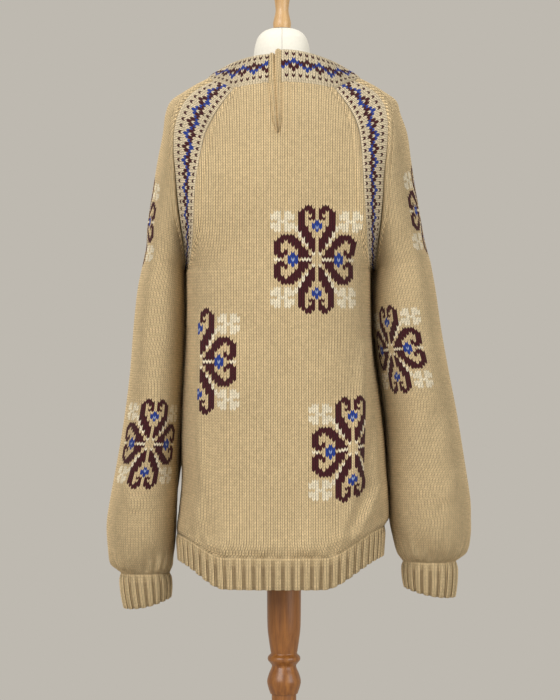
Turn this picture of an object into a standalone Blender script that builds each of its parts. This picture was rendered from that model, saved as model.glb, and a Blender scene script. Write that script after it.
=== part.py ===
"""Hand-knitted raglan sweater worn by a limbless dress form on a turned wooden stand.

Units are metres, +Z is up. The origin is on the floor under the pole. The back of the sweater
faces -Y, so -X is the wearer's left. Every knitted piece is a wall between an outer and an inner
grid of points. Neighbouring pieces share the same seam points and the same surface directions
there, and each piece is then drawn in by half the seam gap.
"""
import math
from collections import namedtuple

import bpy
import numpy as np

COLLECTION_NAME = "sweater_on_dress_form"

# Knitted wall
WALL = 0.003
SEAM_GAP = 0.0003
SHARP_DEGREES = 50
KEYS_PER_METRE = 1e5
RIB_HEIGHT = 0.0022
EDGING_HEIGHT = 0.0012
SIDE_FADE = 0.030
SLEEVE_CLEARANCE = 0.0025

# Columns and rows of the grids
HALF_BODY_COLUMNS = 14
STRIP_COLUMNS = 3
HALF_SLEEVE_COLUMNS = 9
YOKE_ROWS = 13
BODY_LOWER_ROWS = 8
SLEEVE_LOWER_ROWS = 11
NECKBAND_ROWS = 2
HEM_ROWS = 1
CUFF_ROWS = 2
RIB_COLUMNS = 4
ROW_SAMPLES = 121

# The neckband keeps every second column of the panels and every third of the sleeves
BAND_BODY_STRIDE = 2
BAND_SLEEVE_STRIDE = 3

# Back and front panels are squarer than an ellipse in plan
BODY_POWER = 2.6

# The yoke, level by level from the neck seam (first row) down to the underarm (last row).
# inner is the seam between body and raglan strip, outer the seam between strip and sleeve,
# arch the way in which the strip bows between them; all for the wearer's right side (+X).
Seam = namedtuple("Seam", "inner_x inner_y inner_z outer_x outer_y outer_z arch_y arch_z")
BACK_SEAMS = (
    Seam(0.0785, -0.078, 1.3755, 0.1080, -0.050, 1.3915, -0.002, 0.002),
    Seam(0.0903, -0.086, 1.3590, 0.1280, -0.058, 1.3805, -0.003, 0.002),
    Seam(0.1010, -0.092, 1.3420, 0.1430, -0.066, 1.3680, -0.004, 0.002),
    Seam(0.1090, -0.099, 1.3240, 0.1545, -0.078, 1.3470, -0.004, 0.001),
    Seam(0.1143, -0.108, 1.3040, 0.1600, -0.091, 1.3180, -0.004, 0.000),
    Seam(0.1186, -0.118, 1.2754, 0.1595, -0.097, 1.2840, -0.003, 0.000),
    Seam(0.1234, -0.127, 1.2408, 0.1560, -0.096, 1.2450, -0.002, 0.000),
    Seam(0.1267, -0.130, 1.2065, 0.1532, -0.092, 1.2090, -0.001, 0.000),
    Seam(0.1300, -0.126, 1.1757, 0.1505, -0.084, 1.1760, 0.001, 0.001),
    Seam(0.1360, -0.102, 1.1420, 0.1520, -0.062, 1.1460, 0.005, 0.003),
    Seam(0.1430, -0.055, 1.1130, 0.1590, -0.032, 1.1180, 0.003, 0.004),
    Seam(0.1500, 0.000, 1.1000, 0.1680, 0.000, 1.1020, 0.000, 0.004),
)
FRONT_SEAMS = (
    Seam(0.0990, 0.038, 1.3660, 0.1160, -0.002, 1.3890, 0.001, 0.002),
    Seam(0.1040, 0.052, 1.3500, 0.1330, 0.008, 1.3770, 0.002, 0.002),
    Seam(0.1090, 0.064, 1.3330, 0.1460, 0.020, 1.3620, 0.003, 0.002),
    Seam(0.1130, 0.076, 1.3150, 0.1560, 0.036, 1.3420, 0.004, 0.001),
    Seam(0.1170, 0.088, 1.2950, 0.1610, 0.052, 1.3150, 0.004, 0.000),
    Seam(0.1205, 0.100, 1.2670, 0.1610, 0.066, 1.2820, 0.003, 0.000),
    Seam(0.1240, 0.110, 1.2330, 0.1580, 0.076, 1.2440, 0.002, 0.000),
    Seam(0.1270, 0.117, 1.2000, 0.1545, 0.080, 1.2080, 0.001, 0.000),
    Seam(0.1305, 0.115, 1.1710, 0.1515, 0.076, 1.1760, -0.001, 0.001),
    Seam(0.1365, 0.096, 1.1400, 0.1500, 0.062, 1.1440, -0.005, 0.003),
    Seam(0.1430, 0.053, 1.1120, 0.1540, 0.036, 1.1160, -0.003, 0.004),
    Seam(0.1500, 0.000, 1.1000, 0.1680, 0.000, 1.1020, 0.000, 0.004),
)

# How much further out (+) or in (-) the seams lie on each side, at the same levels
Shift = namedtuple("Shift", "left_inner left_outer right_inner right_outer")
SHIFTS = (
    Shift(0.0000, 0.0000, 0.0000, 0.0000),
    Shift(0.0000, 0.0000, 0.0000, 0.0000),
    Shift(0.0005, 0.0005, 0.0000, 0.0000),
    Shift(0.0020, 0.0020, 0.0000, -0.0010),
    Shift(0.0050, 0.0050, -0.0005, -0.0030),
    Shift(0.0070, 0.0075, -0.0020, -0.0045),
    Shift(0.0080, 0.0080, -0.0050, -0.0050),
    Shift(0.0080, 0.0080, -0.0060, -0.0040),
    Shift(0.0060, 0.0070, -0.0070, -0.0040),
    Shift(0.0030, 0.0025, -0.0098, -0.0080),
    Shift(0.0015, -0.0055, -0.0135, -0.0160),
    Shift(0.0000, -0.0130, -0.0175, -0.0245),
)

# Centre lines of the panels at the same levels. crown is the sleeve's outermost line, turn the
# angle in degrees from the crown round to the seam, depth the sleeve's half depth in Y.
Level = namedtuple("Level", "back_y back_z front_y front_z crown_left crown_right crown_y crown_z turn depth")
LEVELS = (
    Level(-0.095, 1.3840, 0.092, 1.3180, 0.1175, 0.1175, -0.022, 1.3970, 60, 0.032),
    Level(-0.103, 1.3660, 0.103, 1.3060, 0.1350, 0.1350, -0.020, 1.3880, 60, 0.044),
    Level(-0.110, 1.3480, 0.113, 1.2930, 0.1530, 0.1530, -0.018, 1.3770, 65, 0.053),
    Level(-0.117, 1.3290, 0.122, 1.2800, 0.1735, 0.1725, -0.015, 1.3630, 72, 0.066),
    Level(-0.124, 1.3070, 0.130, 1.2660, 0.1820, 0.1790, -0.012, 1.3430, 80, 0.080),
    Level(-0.131, 1.2775, 0.139, 1.2440, 0.1860, 0.1895, -0.009, 1.3130, 90, 0.088),
    Level(-0.137, 1.2415, 0.146, 1.2180, 0.1935, 0.1950, -0.007, 1.2760, 97, 0.090),
    Level(-0.140, 1.2065, 0.149, 1.1900, 0.2000, 0.2007, -0.005, 1.2390, 104, 0.090),
    Level(-0.140, 1.1757, 0.149, 1.1660, 0.2060, 0.2070, -0.004, 1.2030, 115, 0.088),
    Level(-0.140, 1.1420, 0.148, 1.1380, 0.2105, 0.2130, -0.003, 1.1690, 137, 0.0865),
    Level(-0.140, 1.1130, 0.147, 1.1120, 0.2120, 0.2185, -0.002, 1.1420, 159, 0.084),
    Level(-0.140, 1.1000, 0.147, 1.1000, 0.2170, 0.2260, 0.000, 1.1160, 180, 0.082),
)

# The body below the underarm, ring by ring down to the top of the hem rib. The rib hangs lowest
# at the middle of the back and rises towards the sides.
BodyRing = namedtuple("BodyRing", "left right back_y front_y middle_z left_z right_z")
BODY_RINGS = (
    BodyRing(0.1500, 0.1325, -0.140, 0.147, 1.100, 1.100, 1.100),
    BodyRing(0.1495, 0.1330, -0.140, 0.149, 1.040, 1.040, 1.040),
    BodyRing(0.1520, 0.1355, -0.139, 0.150, 0.980, 0.980, 0.982),
    BodyRing(0.1555, 0.1450, -0.138, 0.150, 0.910, 0.912, 0.915),
    BodyRing(0.1570, 0.1527, -0.137, 0.149, 0.840, 0.845, 0.851),
    BodyRing(0.1560, 0.1575, -0.137, 0.148, 0.770, 0.782, 0.792),
    BodyRing(0.1600, 0.1610, -0.139, 0.149, 0.718, 0.736, 0.748),
    BodyRing(0.1635, 0.1610, -0.142, 0.150, 0.686, 0.710, 0.724),
    BodyRing(0.1640, 0.1540, -0.134, 0.142, 0.670, 0.698, 0.710),
)
WAIST_RING = 4
LEFT_RISE_START = 0.55
RIGHT_RISE_START = 0.38

HEM_DEPTH = 0.048
HEM_LIFT_LEFT = 0.008
HEM_LIFT_RIGHT = 0.003
HEM_DRAW_IN = 0.003

# The sleeves below the underarm, ring by ring down to the top of the cuff.
SleeveRing = namedtuple(
    "SleeveRing", "outer_z inner_z right_up left_out left_in right_out right_in depth middle_y")
SLEEVE_RINGS = (
    SleeveRing(1.116, 1.102, 0.000, 0.2170, 0.1550, 0.2260, 0.1435, 0.082, 0.000),
    SleeveRing(1.072, 1.060, 0.000, 0.2260, 0.1540, 0.2340, 0.1415, 0.084, 0.000),
    SleeveRing(1.010, 1.000, 0.000, 0.2325, 0.1545, 0.2430, 0.1425, 0.086, 0.000),
    SleeveRing(0.945, 0.938, 0.000, 0.2375, 0.1572, 0.2545, 0.1510, 0.087, -0.002),
    SleeveRing(0.880, 0.874, 0.000, 0.2455, 0.1612, 0.2670, 0.1590, 0.087, -0.003),
    SleeveRing(0.815, 0.811, 0.000, 0.2560, 0.1655, 0.2775, 0.1617, 0.086, -0.004),
    SleeveRing(0.750, 0.748, 0.002, 0.2680, 0.1675, 0.2870, 0.1625, 0.083, -0.006),
    SleeveRing(0.715, 0.714, 0.005, 0.2730, 0.1685, 0.2880, 0.1650, 0.079, -0.008),
    SleeveRing(0.688, 0.688, 0.009, 0.2725, 0.1700, 0.2880, 0.1690, 0.073, -0.009),
    SleeveRing(0.665, 0.665, 0.013, 0.2700, 0.1725, 0.2845, 0.1740, 0.063, -0.010),
    SleeveRing(0.648, 0.648, 0.016, 0.2645, 0.1750, 0.2770, 0.1800, 0.050, -0.010),
    SleeveRing(0.637, 0.637, 0.018, 0.2510, 0.1785, 0.2645, 0.1855, 0.039, -0.010),
)

# The sleeve's inner side leans on the body in front of the sleeve's middle line. The numbers are
# shares of the sleeve's half depth in front of that line, then how far the side must face inwards.
REST_START = 0.4
REST_LEVEL = 9.0
REST_LEAVES = 4.5
REST_END = 6.5
REST_MIDDLE = 0.35
REST_NEAR = 0.60
REST_FAR = 0.95
REST_TURN = 0.4
REST_SEAM_TURN = 0.5

# The cuffs' lower edge rises by inner_up towards the body
Cuff = namedtuple("Cuff", "inner outer bottom_z inner_up half_depth middle_y")
CUFF_LEFT = Cuff(0.1775, 0.2445, 0.583, 0.016, 0.034, -0.010)
CUFF_RIGHT = Cuff(0.1885, 0.2615, 0.600, 0.015, 0.035, -0.010)
CUFF_BELLY = 0.002

# The neckband's upper edge
BAND_HALF_WIDTH = 0.098
BAND_BACK_Y = -0.075
BAND_FRONT_Y = 0.080
BAND_BACK_Z = 1.4325
BAND_SIDE_Z = 1.4120
BAND_FRONT_Z = 1.3480
BAND_STEP = 0.003
BAND_STEP_REACH = 0.050
BAND_BELLY = 0.003

# The slit at the centre back, with its two narrow knitted edges
SLIT_TOP_X = -0.0135
SLIT_END_X = -0.0090
SLIT_HALF_WIDTH = 0.0095
SLIT_LOW_HALF_WIDTH = 0.0060
SLIT_ROWS = 5
PLACKET_END = 0.8

# Folds are soft ridges (height above 0) and troughs (below 0) along a line on one face.
Fold = namedtuple("Fold", "face x0 z0 x1 z1 width height")
FOLDS = (
    Fold("back", -0.131, 1.030, -0.128, 0.730, 0.013, 0.008),
    Fold("back", -0.147, 1.010, -0.145, 0.760, 0.010, -0.010),
    Fold("back", 0.125, 0.985, 0.108, 0.790, 0.012, 0.009),
    Fold("back", 0.140, 0.960, 0.126, 0.800, 0.011, -0.008),
    Fold("back", 0.148, 0.772, 0.116, 0.712, 0.011, 0.008),
    Fold("back", 0.128, 0.775, 0.098, 0.716, 0.010, -0.007),
    Fold("back", 0.104, 0.745, 0.088, 0.700, 0.010, 0.006),
    Fold("back", -0.140, 0.800, -0.112, 0.705, 0.012, -0.006),
    Fold("back", -0.100, 1.200, -0.060, 1.020, 0.030, -0.004),
    Fold("back", 0.095, 1.210, 0.070, 1.000, 0.030, -0.004),
    Fold("front", -0.128, 1.030, -0.124, 0.830, 0.014, 0.007),
    Fold("front", -0.143, 1.010, -0.141, 0.810, 0.010, -0.008),
    Fold("front", 0.127, 1.025, 0.124, 0.850, 0.013, 0.007),
    Fold("front", 0.141, 1.005, 0.139, 0.830, 0.010, -0.008),
    Fold("front", -0.060, 1.170, -0.020, 0.990, 0.028, -0.005),
    Fold("front", 0.070, 1.160, 0.035, 0.960, 0.028, -0.005),
    Fold("front", 0.130, 0.770, 0.095, 0.708, 0.011, -0.006),
    Fold("front", -0.125, 0.765, -0.100, 0.705, 0.011, -0.006),
    Fold("sleeve", -0.178, 1.150, -0.196, 1.000, 0.016, -0.005),
    Fold("sleeve", -0.215, 0.900, -0.190, 0.800, 0.018, -0.005),
    Fold("sleeve", -0.245, 0.780, -0.205, 0.690, 0.014, 0.005),
    Fold("sleeve", -0.222, 0.730, -0.196, 0.665, 0.011, -0.006),
    Fold("sleeve", 0.180, 1.150, 0.200, 0.990, 0.016, -0.005),
    Fold("sleeve", 0.232, 0.880, 0.205, 0.790, 0.018, -0.005),
    Fold("sleeve", 0.262, 0.790, 0.220, 0.700, 0.014, 0.005),
    Fold("sleeve", 0.240, 0.745, 0.208, 0.680, 0.011, -0.006),
)

# Gathers where the fabric is drawn into the ribs
HEM_GATHERS = 13
SLOW_GATHERS = 8
HEM_GATHER_HEIGHT = 0.0030
HEM_GATHER_REACH = 0.030
CUFF_GATHERS = 5
CUFF_GATHER_HEIGHT = 0.0035
CUFF_GATHER_REACH = 0.026

# Dress form, its neck finial and its stand
FORM_X = -0.003
FORM_COLUMNS = 28
FORM_POWER = 2.3
FormRing = namedtuple("FormRing", "z half_width back_y front_y")
FORM_RINGS = (
    FormRing(1.4785, 0.010, -0.010, 0.010),
    FormRing(1.4765, 0.020, -0.020, 0.020),
    FormRing(1.4720, 0.030, -0.029, 0.029),
    FormRing(1.4630, 0.0378, -0.037, 0.037),
    FormRing(1.4500, 0.0420, -0.041, 0.041),
    FormRing(1.4330, 0.0445, -0.044, 0.044),
    FormRing(1.4080, 0.0480, -0.047, 0.047),
    FormRing(1.3880, 0.0620, -0.048, 0.040),
    FormRing(1.3780, 0.0950, -0.050, 0.034),
    FormRing(1.3680, 0.1280, -0.058, 0.042),
    FormRing(1.3540, 0.1460, -0.068, 0.054),
    FormRing(1.3300, 0.1520, -0.080, 0.070),
    FormRing(1.2900, 0.1480, -0.094, 0.090),
    FormRing(1.2200, 0.1370, -0.104, 0.110),
    FormRing(1.1400, 0.1250, -0.100, 0.114),
    FormRing(1.0400, 0.1190, -0.090, 0.102),
    FormRing(0.9500, 0.1150, -0.080, 0.088),
    FormRing(0.8500, 0.1240, -0.088, 0.094),
    FormRing(0.7600, 0.1380, -0.100, 0.100),
    FormRing(0.7100, 0.1400, -0.102, 0.100),
)

# Turned profiles: radius and height, from the top down
Turn = namedtuple("Turn", "radius z")
FINIAL_PROFILE = (
    Turn(0.0000, 1.5600),
    Turn(0.0060, 1.5588),
    Turn(0.0108, 1.5550),
    Turn(0.0134, 1.5490),
    Turn(0.0142, 1.5420),
    Turn(0.0135, 1.5330),
    Turn(0.0120, 1.5235),
    Turn(0.0108, 1.5150),
    Turn(0.0101, 1.5070),
    Turn(0.0107, 1.5010),
    Turn(0.0122, 1.4946),
    Turn(0.0137, 1.4880),
    Turn(0.0139, 1.4840),
    Turn(0.0133, 1.4788),
)
POLE_PROFILE = (
    Turn(0.0270, 0.7097),
    Turn(0.0264, 0.6050),
    Turn(0.0258, 0.5540),
    Turn(0.0236, 0.5320),
    Turn(0.0211, 0.5150),
    Turn(0.0206, 0.5100),
    Turn(0.0248, 0.5050),
    Turn(0.0250, 0.5000),
    Turn(0.0216, 0.4955),
    Turn(0.0189, 0.4900),
    Turn(0.0236, 0.4780),
    Turn(0.0262, 0.4670),
    Turn(0.0240, 0.4560),
    Turn(0.0212, 0.4480),
    Turn(0.0191, 0.4410),
    Turn(0.0190, 0.0290),
)
TURNED_STEPS = 20
BASE_RADIUS = 0.190
BASE_HEIGHT = 0.0287
BASE_EDGE = 0.006
BASE_STEPS = 40
MERGE_DISTANCE = 0.0001

# Colours of the materials
WOOL_BEIGE = (0.500, 0.372, 0.215, 1.0)
WOOL_PALE = (0.560, 0.470, 0.350, 1.0)
COTTON_CREAM = (0.800, 0.760, 0.650, 1.0)
WOOD_HONEY = (0.440, 0.195, 0.062, 1.0)
WOOD_PALE = (0.600, 0.380, 0.180, 1.0)
WOOL_ROUGHNESS = 0.95
COTTON_ROUGHNESS = 0.85
WOOD_ROUGHNESS = 0.45


def smooth(column, place):
    """Read a table column at a fractional row number, along a smooth curve through its rows."""
    column = np.asarray(column, float)
    slope = np.gradient(column)
    low = int(min(max(math.floor(place), 0), len(column) - 2))
    f = place - low
    start = (2 * f**3 - 3 * f**2 + 1) * column[low] + (f**3 - 2 * f**2 + f) * slope[low]
    end = (3 * f**2 - 2 * f**3) * column[low + 1] + (f**3 - f**2) * slope[low + 1]
    return start + end


def read_row(table, place):
    """Read a whole row of a table at a fractional row number."""
    kind = type(table[0])
    return kind(*(smooth([row[i] for row in table], place) for i in range(len(kind._fields))))


def ease(value, start, end):
    """Rise smoothly from 0 at start to 1 at end."""
    f = np.clip((value - start) / (end - start), 0.0, 1.0)
    return f * f * (3 - 2 * f)


def spread(line, first, last, count):
    """Points at even distances along a line, between two distances measured from its start."""
    steps = np.linalg.norm(np.diff(line, axis=0), axis=1)
    length = np.concatenate([[0.0], np.cumsum(steps)])
    last = length[-1] if last is None else last
    places = np.linspace(first, last, count + 1)
    return np.stack([np.interp(places, length, line[:, axis]) for axis in range(3)], axis=1)


def half_row(seam, middle_y, middle_z, rise_start=None):
    """Half a knitted row of a body panel, from the centre line out to the seam on the +X side."""
    seam_x, seam_y, seam_z = seam
    share = (1 - (seam_y / middle_y) ** BODY_POWER) ** (1 / BODY_POWER)
    side_x = seam_x / share
    last = math.asin(min(1.0, share ** (BODY_POWER / 2)))
    turn = np.linspace(0.0, last, ROW_SAMPLES)
    x = side_x * np.sin(turn) ** (2 / BODY_POWER)
    y = middle_y * np.cos(turn) ** (2 / BODY_POWER)
    across = x / seam_x
    rise = across**2 if rise_start is None else ease(across, rise_start, 1.0)
    return np.stack([x, y, middle_z + (seam_z - middle_z) * rise], axis=1)


def mirrored(line, side):
    """The same line on the other side of the centre plane when side is -1."""
    return line * np.array([side, 1.0, 1.0])


def seam_at(face, side, level):
    """The seams of a raglan strip at a level, as they lie on one side."""
    seam = read_row(BACK_SEAMS if face == "back" else FRONT_SEAMS, level)
    shift = read_row(SHIFTS, level)
    inner = shift.left_inner if side < 0 else shift.right_inner
    outer = shift.left_outer if side < 0 else shift.right_outer
    return seam._replace(inner_x=seam.inner_x + inner, outer_x=seam.outer_x + outer)


def yoke_half(face, side, level):
    """Half a row of the back or front panel above the underarm."""
    row = read_row(LEVELS, level)
    seam = seam_at(face, side, level)
    middle_y = row.back_y if face == "back" else row.front_y
    middle_z = row.back_z if face == "back" else row.front_z
    inner_y = min(seam.inner_y, 0.0) if face == "back" else max(seam.inner_y, 0.0)
    line = half_row((seam.inner_x, inner_y, seam.inner_z), middle_y, middle_z)
    return mirrored(line, side)


def body_half(face, side, place):
    """Half a ring of the body below the underarm."""
    ring = read_row(BODY_RINGS, place)
    middle_y = ring.back_y if face == "back" else ring.front_y
    side_x = ring.left if side < 0 else ring.right
    side_z = ring.left_z if side < 0 else ring.right_z
    start = LEFT_RISE_START if side < 0 else RIGHT_RISE_START
    return mirrored(half_row((side_x, 0.0, side_z), middle_y, ring.middle_z, start), side)


def body_reach(side, y, z):
    """How far the body reaches sideways at a height, at a given depth."""
    heights = [ring.middle_z for ring in BODY_RINGS][::-1]
    widths = [ring.left if side < 0 else ring.right for ring in BODY_RINGS][::-1]
    half_width = np.interp(z, heights, widths)
    depth = abs(BODY_RINGS[WAIST_RING].back_y) if y < 0 else BODY_RINGS[WAIST_RING].front_y
    share = min(1.0, abs(y) / depth)
    return half_width * (1 - share**BODY_POWER) ** (1 / BODY_POWER)


def leaning(side, place, line):
    """How far the sleeve's side leans on the body at each point, and the body's reach there.

    The place is the share of the sleeve's half depth in front of its middle line."""
    clear = np.array([body_reach(side, *point) for point in line[:, 1:]]) + SLEEVE_CLEARANCE
    return ease(place, 0.0, REST_MIDDLE) * (1 - ease(place, REST_NEAR, REST_FAR)), clear


def yoke_level(row):
    """The level in the yoke's tables at which a row of the grids lies."""
    return row / YOKE_ROWS * (len(LEVELS) - 1)


def slit_edges(row):
    """Where the slit's centre line and its half width lie on a row of the back panel."""
    centre = np.interp(row, [0, SLIT_ROWS], [SLIT_TOP_X, SLIT_END_X])
    centre = centre * (1 - ease(row, SLIT_ROWS, YOKE_ROWS))
    half = np.interp(row, [0, SLIT_ROWS - 1, SLIT_ROWS], [SLIT_HALF_WIDTH, SLIT_LOW_HALF_WIDTH, 0.0])
    return centre, half


def full_row(left_half, right_half):
    """Join two half rows that both start at the centre into one row from left to right."""
    return np.concatenate([left_half[::-1], right_half[1:]])


def split_row(row, centre, half):
    """Cut a whole row into the stretch left of the slit and the stretch right of it."""
    steps = np.linalg.norm(np.diff(row, axis=0), axis=1)
    length = np.concatenate([[0.0], np.cumsum(steps)])
    middle = np.interp(centre, row[:, 0], length)
    left = spread(row, 0.0, middle - half, HALF_BODY_COLUMNS)
    right = spread(row, middle + half, None, HALF_BODY_COLUMNS)
    return left, right


def strip_row(face, side, level):
    """One row across a raglan strip, from the body seam to the sleeve seam."""
    seam = seam_at(face, side, level)
    start = np.array([seam.inner_x, seam.inner_y, seam.inner_z])
    end = np.array([seam.outer_x, seam.outer_y, seam.outer_z])
    f = np.linspace(0.0, 1.0, STRIP_COLUMNS + 1)[:, None]
    arch = np.array([0.0, seam.arch_y, seam.arch_z])
    return mirrored(start + (end - start) * f + arch * 4 * f * (1 - f), side)


def sleeve_cap_row(side, level):
    """A row over the sleeve above the underarm, from the back seam over the crown to the front."""
    row = read_row(LEVELS, level)
    crown_x = row.crown_left if side < 0 else row.crown_right
    quarters = []
    for face in ("back", "front"):
        seam = seam_at(face, side, level)
        outward = -1.0 if face == "back" else 1.0
        last = math.radians(min(row.turn, 180.0))
        half_width = (crown_x - seam.outer_x) / (1 - math.cos(last))
        turn = np.linspace(0.0, last, ROW_SAMPLES)
        weight = (turn / last) ** 2
        miss = seam.outer_y - (row.crown_y + outward * row.depth * math.sin(last))
        x = crown_x - half_width * (1 - np.cos(turn))
        y = row.crown_y + outward * row.depth * np.sin(turn) + miss * weight
        z = row.crown_z + (seam.outer_z - row.crown_z) * weight
        line = np.stack([x, y, z], axis=1)
        lean, clear = leaning(side, (y - row.crown_y) / row.depth, line)
        lean = lean * ease(level, REST_LEVEL, len(LEVELS) - 1) * ease(last - turn, 0.0, REST_SEAM_TURN)
        line[:, 0] += (np.minimum(clear, x) - x) * lean * ease(-np.cos(turn), 0.0, REST_TURN)
        quarters.append(line)
    back = spread(quarters[0][::-1], 0.0, None, HALF_SLEEVE_COLUMNS)
    front = spread(quarters[1], 0.0, None, HALF_SLEEVE_COLUMNS)
    return mirrored(np.concatenate([back, front[1:]]), side)


def sleeve_ring(side, place):
    """A closed ring of the sleeve below the underarm, from its inner line round by the back."""
    ring = read_row(SLEEVE_RINGS, place)
    outer = ring.left_out if side < 0 else ring.right_out
    inner = ring.left_in if side < 0 else ring.right_in
    up = ring.right_up if side > 0 else 0.0
    turn = np.linspace(math.pi, -math.pi, 2 * ROW_SAMPLES - 1)
    weight = (turn / math.pi) ** 2
    x = (outer + inner) / 2 + (outer - inner) / 2 * np.cos(turn)
    y = ring.middle_y - ring.depth * np.sin(turn)
    z = ring.outer_z + (ring.inner_z - ring.outer_z) * weight + up
    line = np.stack([x, y, z], axis=1)
    lean, clear = leaning(side, (y - ring.middle_y) / ring.depth, line)
    lean = lean * (1 - ease(place, REST_LEAVES, REST_END)) * ease(-np.cos(turn), 0.0, REST_TURN)
    x = x + (np.minimum(clear, x) - x) * lean
    pushed = inner + (clear - inner) * ease(place, 0.0, REST_START)
    line[:, 0] = np.where(clear > inner, np.maximum(x, pushed), x)
    half = ROW_SAMPLES - 1
    back = spread(line[:half + 1], 0.0, None, HALF_SLEEVE_COLUMNS)
    front = spread(line[half:], 0.0, None, HALF_SLEEVE_COLUMNS)
    return mirrored(np.concatenate([back, front[1:]]), side)


def distance_to_line(x, z, fold):
    """Distance from points to a fold's line, in the X-Z plane."""
    along = np.array([fold.x1 - fold.x0, fold.z1 - fold.z0])
    share = ((x - fold.x0) * along[0] + (z - fold.z0) * along[1]) / along.dot(along)
    near = np.clip(share, 0.0, 1.0)
    return np.hypot(x - fold.x0 - along[0] * near, z - fold.z0 - along[1] * near)


def fold_heights(grid, face):
    """How far the folds on a face lift or sink each point of a grid."""
    height = np.zeros(grid.shape[:2])
    for fold in FOLDS:
        if fold.face == face:
            gap = distance_to_line(grid[..., 0], grid[..., 2], fold)
            height += fold.height * np.exp(-((gap / fold.width) ** 2))
    return height


def length_from_start(grid):
    """Distance along each row from its first point."""
    steps = np.linalg.norm(np.diff(grid, axis=1), axis=2)
    return np.concatenate([np.zeros((len(grid), 1)), np.cumsum(steps, axis=1)], axis=1)


def gather_hem(grid, outward):
    """Pucker the body just above the hem rib."""
    around = np.arctan2(grid[..., 1], grid[..., 0])
    above = grid[..., 2] - grid[-1:, :, 2]
    reach = np.exp(-((above / HEM_GATHER_REACH) ** 2)) * ease(above, 0.0, HEM_GATHER_REACH / 2)
    sway = np.sin(HEM_GATHERS * around) + 0.5 * np.sin(SLOW_GATHERS * around)
    faces_out = ease(np.abs(grid[..., 1]), SIDE_FADE, 3 * SIDE_FADE)
    grid[..., 1] += outward * HEM_GATHER_HEIGHT * reach * sway * faces_out
    return grid


def body_grid(face, side):
    """Half of the back or front panel, its columns running from the seam to the centre."""
    rows = []
    for i in range(YOKE_ROWS + 1):
        level = yoke_level(i)
        if face == "front":
            rows.append(spread(yoke_half(face, side, level), 0.0, None, HALF_BODY_COLUMNS)[::-1])
            continue
        row = full_row(yoke_half(face, -1, level), yoke_half(face, 1, level))
        left, right = split_row(row, *slit_edges(i))
        rows.append(left if side < 0 else right[::-1])
    for i in range(1, BODY_LOWER_ROWS + 1):
        place = (len(BODY_RINGS) - 1) * i / BODY_LOWER_ROWS
        rows.append(spread(body_half(face, side, place), 0.0, None, HALF_BODY_COLUMNS)[::-1])
    grid = np.array(rows)
    outward = -1.0 if face == "back" else 1.0
    fade = ease(length_from_start(grid), 0.0, SIDE_FADE)
    grid[..., 1] += outward * fade * fold_heights(grid, face)
    gather_hem(grid, outward)
    starts_at_left = (face == "back") == (side < 0)
    return grid if starts_at_left else grid[:, ::-1]


def strip_grid(face, side):
    """A raglan strip from the neck seam to the underarm."""
    grid = np.array([strip_row(face, side, yoke_level(i)) for i in range(YOKE_ROWS + 1)])
    runs_outward = (face == "back") == (side > 0)
    return grid if runs_outward else grid[:, ::-1]


def gather_cuff(grid, side):
    """Pucker the sleeve just above its cuff."""
    middle = grid[-1].mean(axis=0)
    around = np.arctan2(grid[..., 1] - middle[1], (grid[..., 0] - middle[0]) * side)
    above = grid[..., 2] - grid[-1, 0, 2]
    reach = np.exp(-((above / CUFF_GATHER_REACH) ** 2)) * ease(above, 0.0, CUFF_GATHER_REACH / 2)
    sway = CUFF_GATHER_HEIGHT * reach * np.sin(CUFF_GATHERS * around)
    outer_half = ease(np.cos(around), 0.0, 0.5)
    grid[..., 0] += side * np.cos(around) * sway * outer_half
    grid[..., 1] += np.sin(around) * sway
    return grid


def sleeve_grid(side):
    """The sleeve with its cap, closed into a tube below the underarm."""
    rows = [sleeve_cap_row(side, yoke_level(i)) for i in range(YOKE_ROWS + 1)]
    for i in range(1, SLEEVE_LOWER_ROWS + 1):
        rows.append(sleeve_ring(side, (len(SLEEVE_RINGS) - 1) * i / SLEEVE_LOWER_ROWS))
    grid = np.array(rows)
    length = length_from_start(grid)
    from_seam = np.minimum(length, length[:, -1:] - length)
    crown_y = grid[:, HALF_SLEEVE_COLUMNS:HALF_SLEEVE_COLUMNS + 1, 1]
    outward = np.clip((grid[..., 1] - crown_y) / SIDE_FADE, -1.0, 1.0)
    fade = ease(from_seam, SIDE_FADE / 2, 2 * SIDE_FADE)
    grid[..., 1] += outward * fade * fold_heights(grid, "sleeve")
    gather_cuff(grid, side)
    return grid if side > 0 else grid[:, ::-1]


def band_top(points, step_side):
    """Points of the neckband's upper edge that stand above points of the neck seam."""
    around = np.arctan2(points[:, 1], points[:, 0])
    back = points[:, 1] < 0
    y_reach = np.where(back, -BAND_BACK_Y, BAND_FRONT_Y)
    middle_z = np.where(back, BAND_BACK_Z, BAND_FRONT_Z)
    x = BAND_HALF_WIDTH * np.cos(around)
    z = BAND_SIDE_Z + (middle_z - BAND_SIDE_Z) * np.sin(around) ** 2
    step = BAND_STEP * np.exp(-((x / BAND_STEP_REACH) ** 2)) * step_side
    return np.stack([x, y_reach * np.sin(around), z + np.where(back, step, 0.0)], axis=1)


def band_grid(seam, step_side):
    """The neckband as a grid, from its upper edge down to the neck seam."""
    top = band_top(seam, step_side)
    rows = []
    for i in range(NECKBAND_ROWS + 1):
        f = i / NECKBAND_ROWS
        row = top + (seam - top) * f
        outward = row * np.array([1.0, 1.0, 0.0])
        outward /= np.linalg.norm(outward, axis=1)[:, None]
        rows.append(row + outward * BAND_BELLY * 4 * f * (1 - f))
    return np.array(rows)


def neck_seam(side, grids):
    """The neck seam on one side, from the slit round to the centre front."""
    pieces = [
        grids["back", side][0][::BAND_BODY_STRIDE * side],
        grids["strip back", side][0][::side],
        grids["sleeve", side][0][::BAND_SLEEVE_STRIDE * side],
        grids["strip front", side][0][::side],
        grids["front", side][0][::BAND_BODY_STRIDE * side],
    ]
    return np.concatenate([pieces[0]] + [piece[1:] for piece in pieces[1:]])


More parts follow.
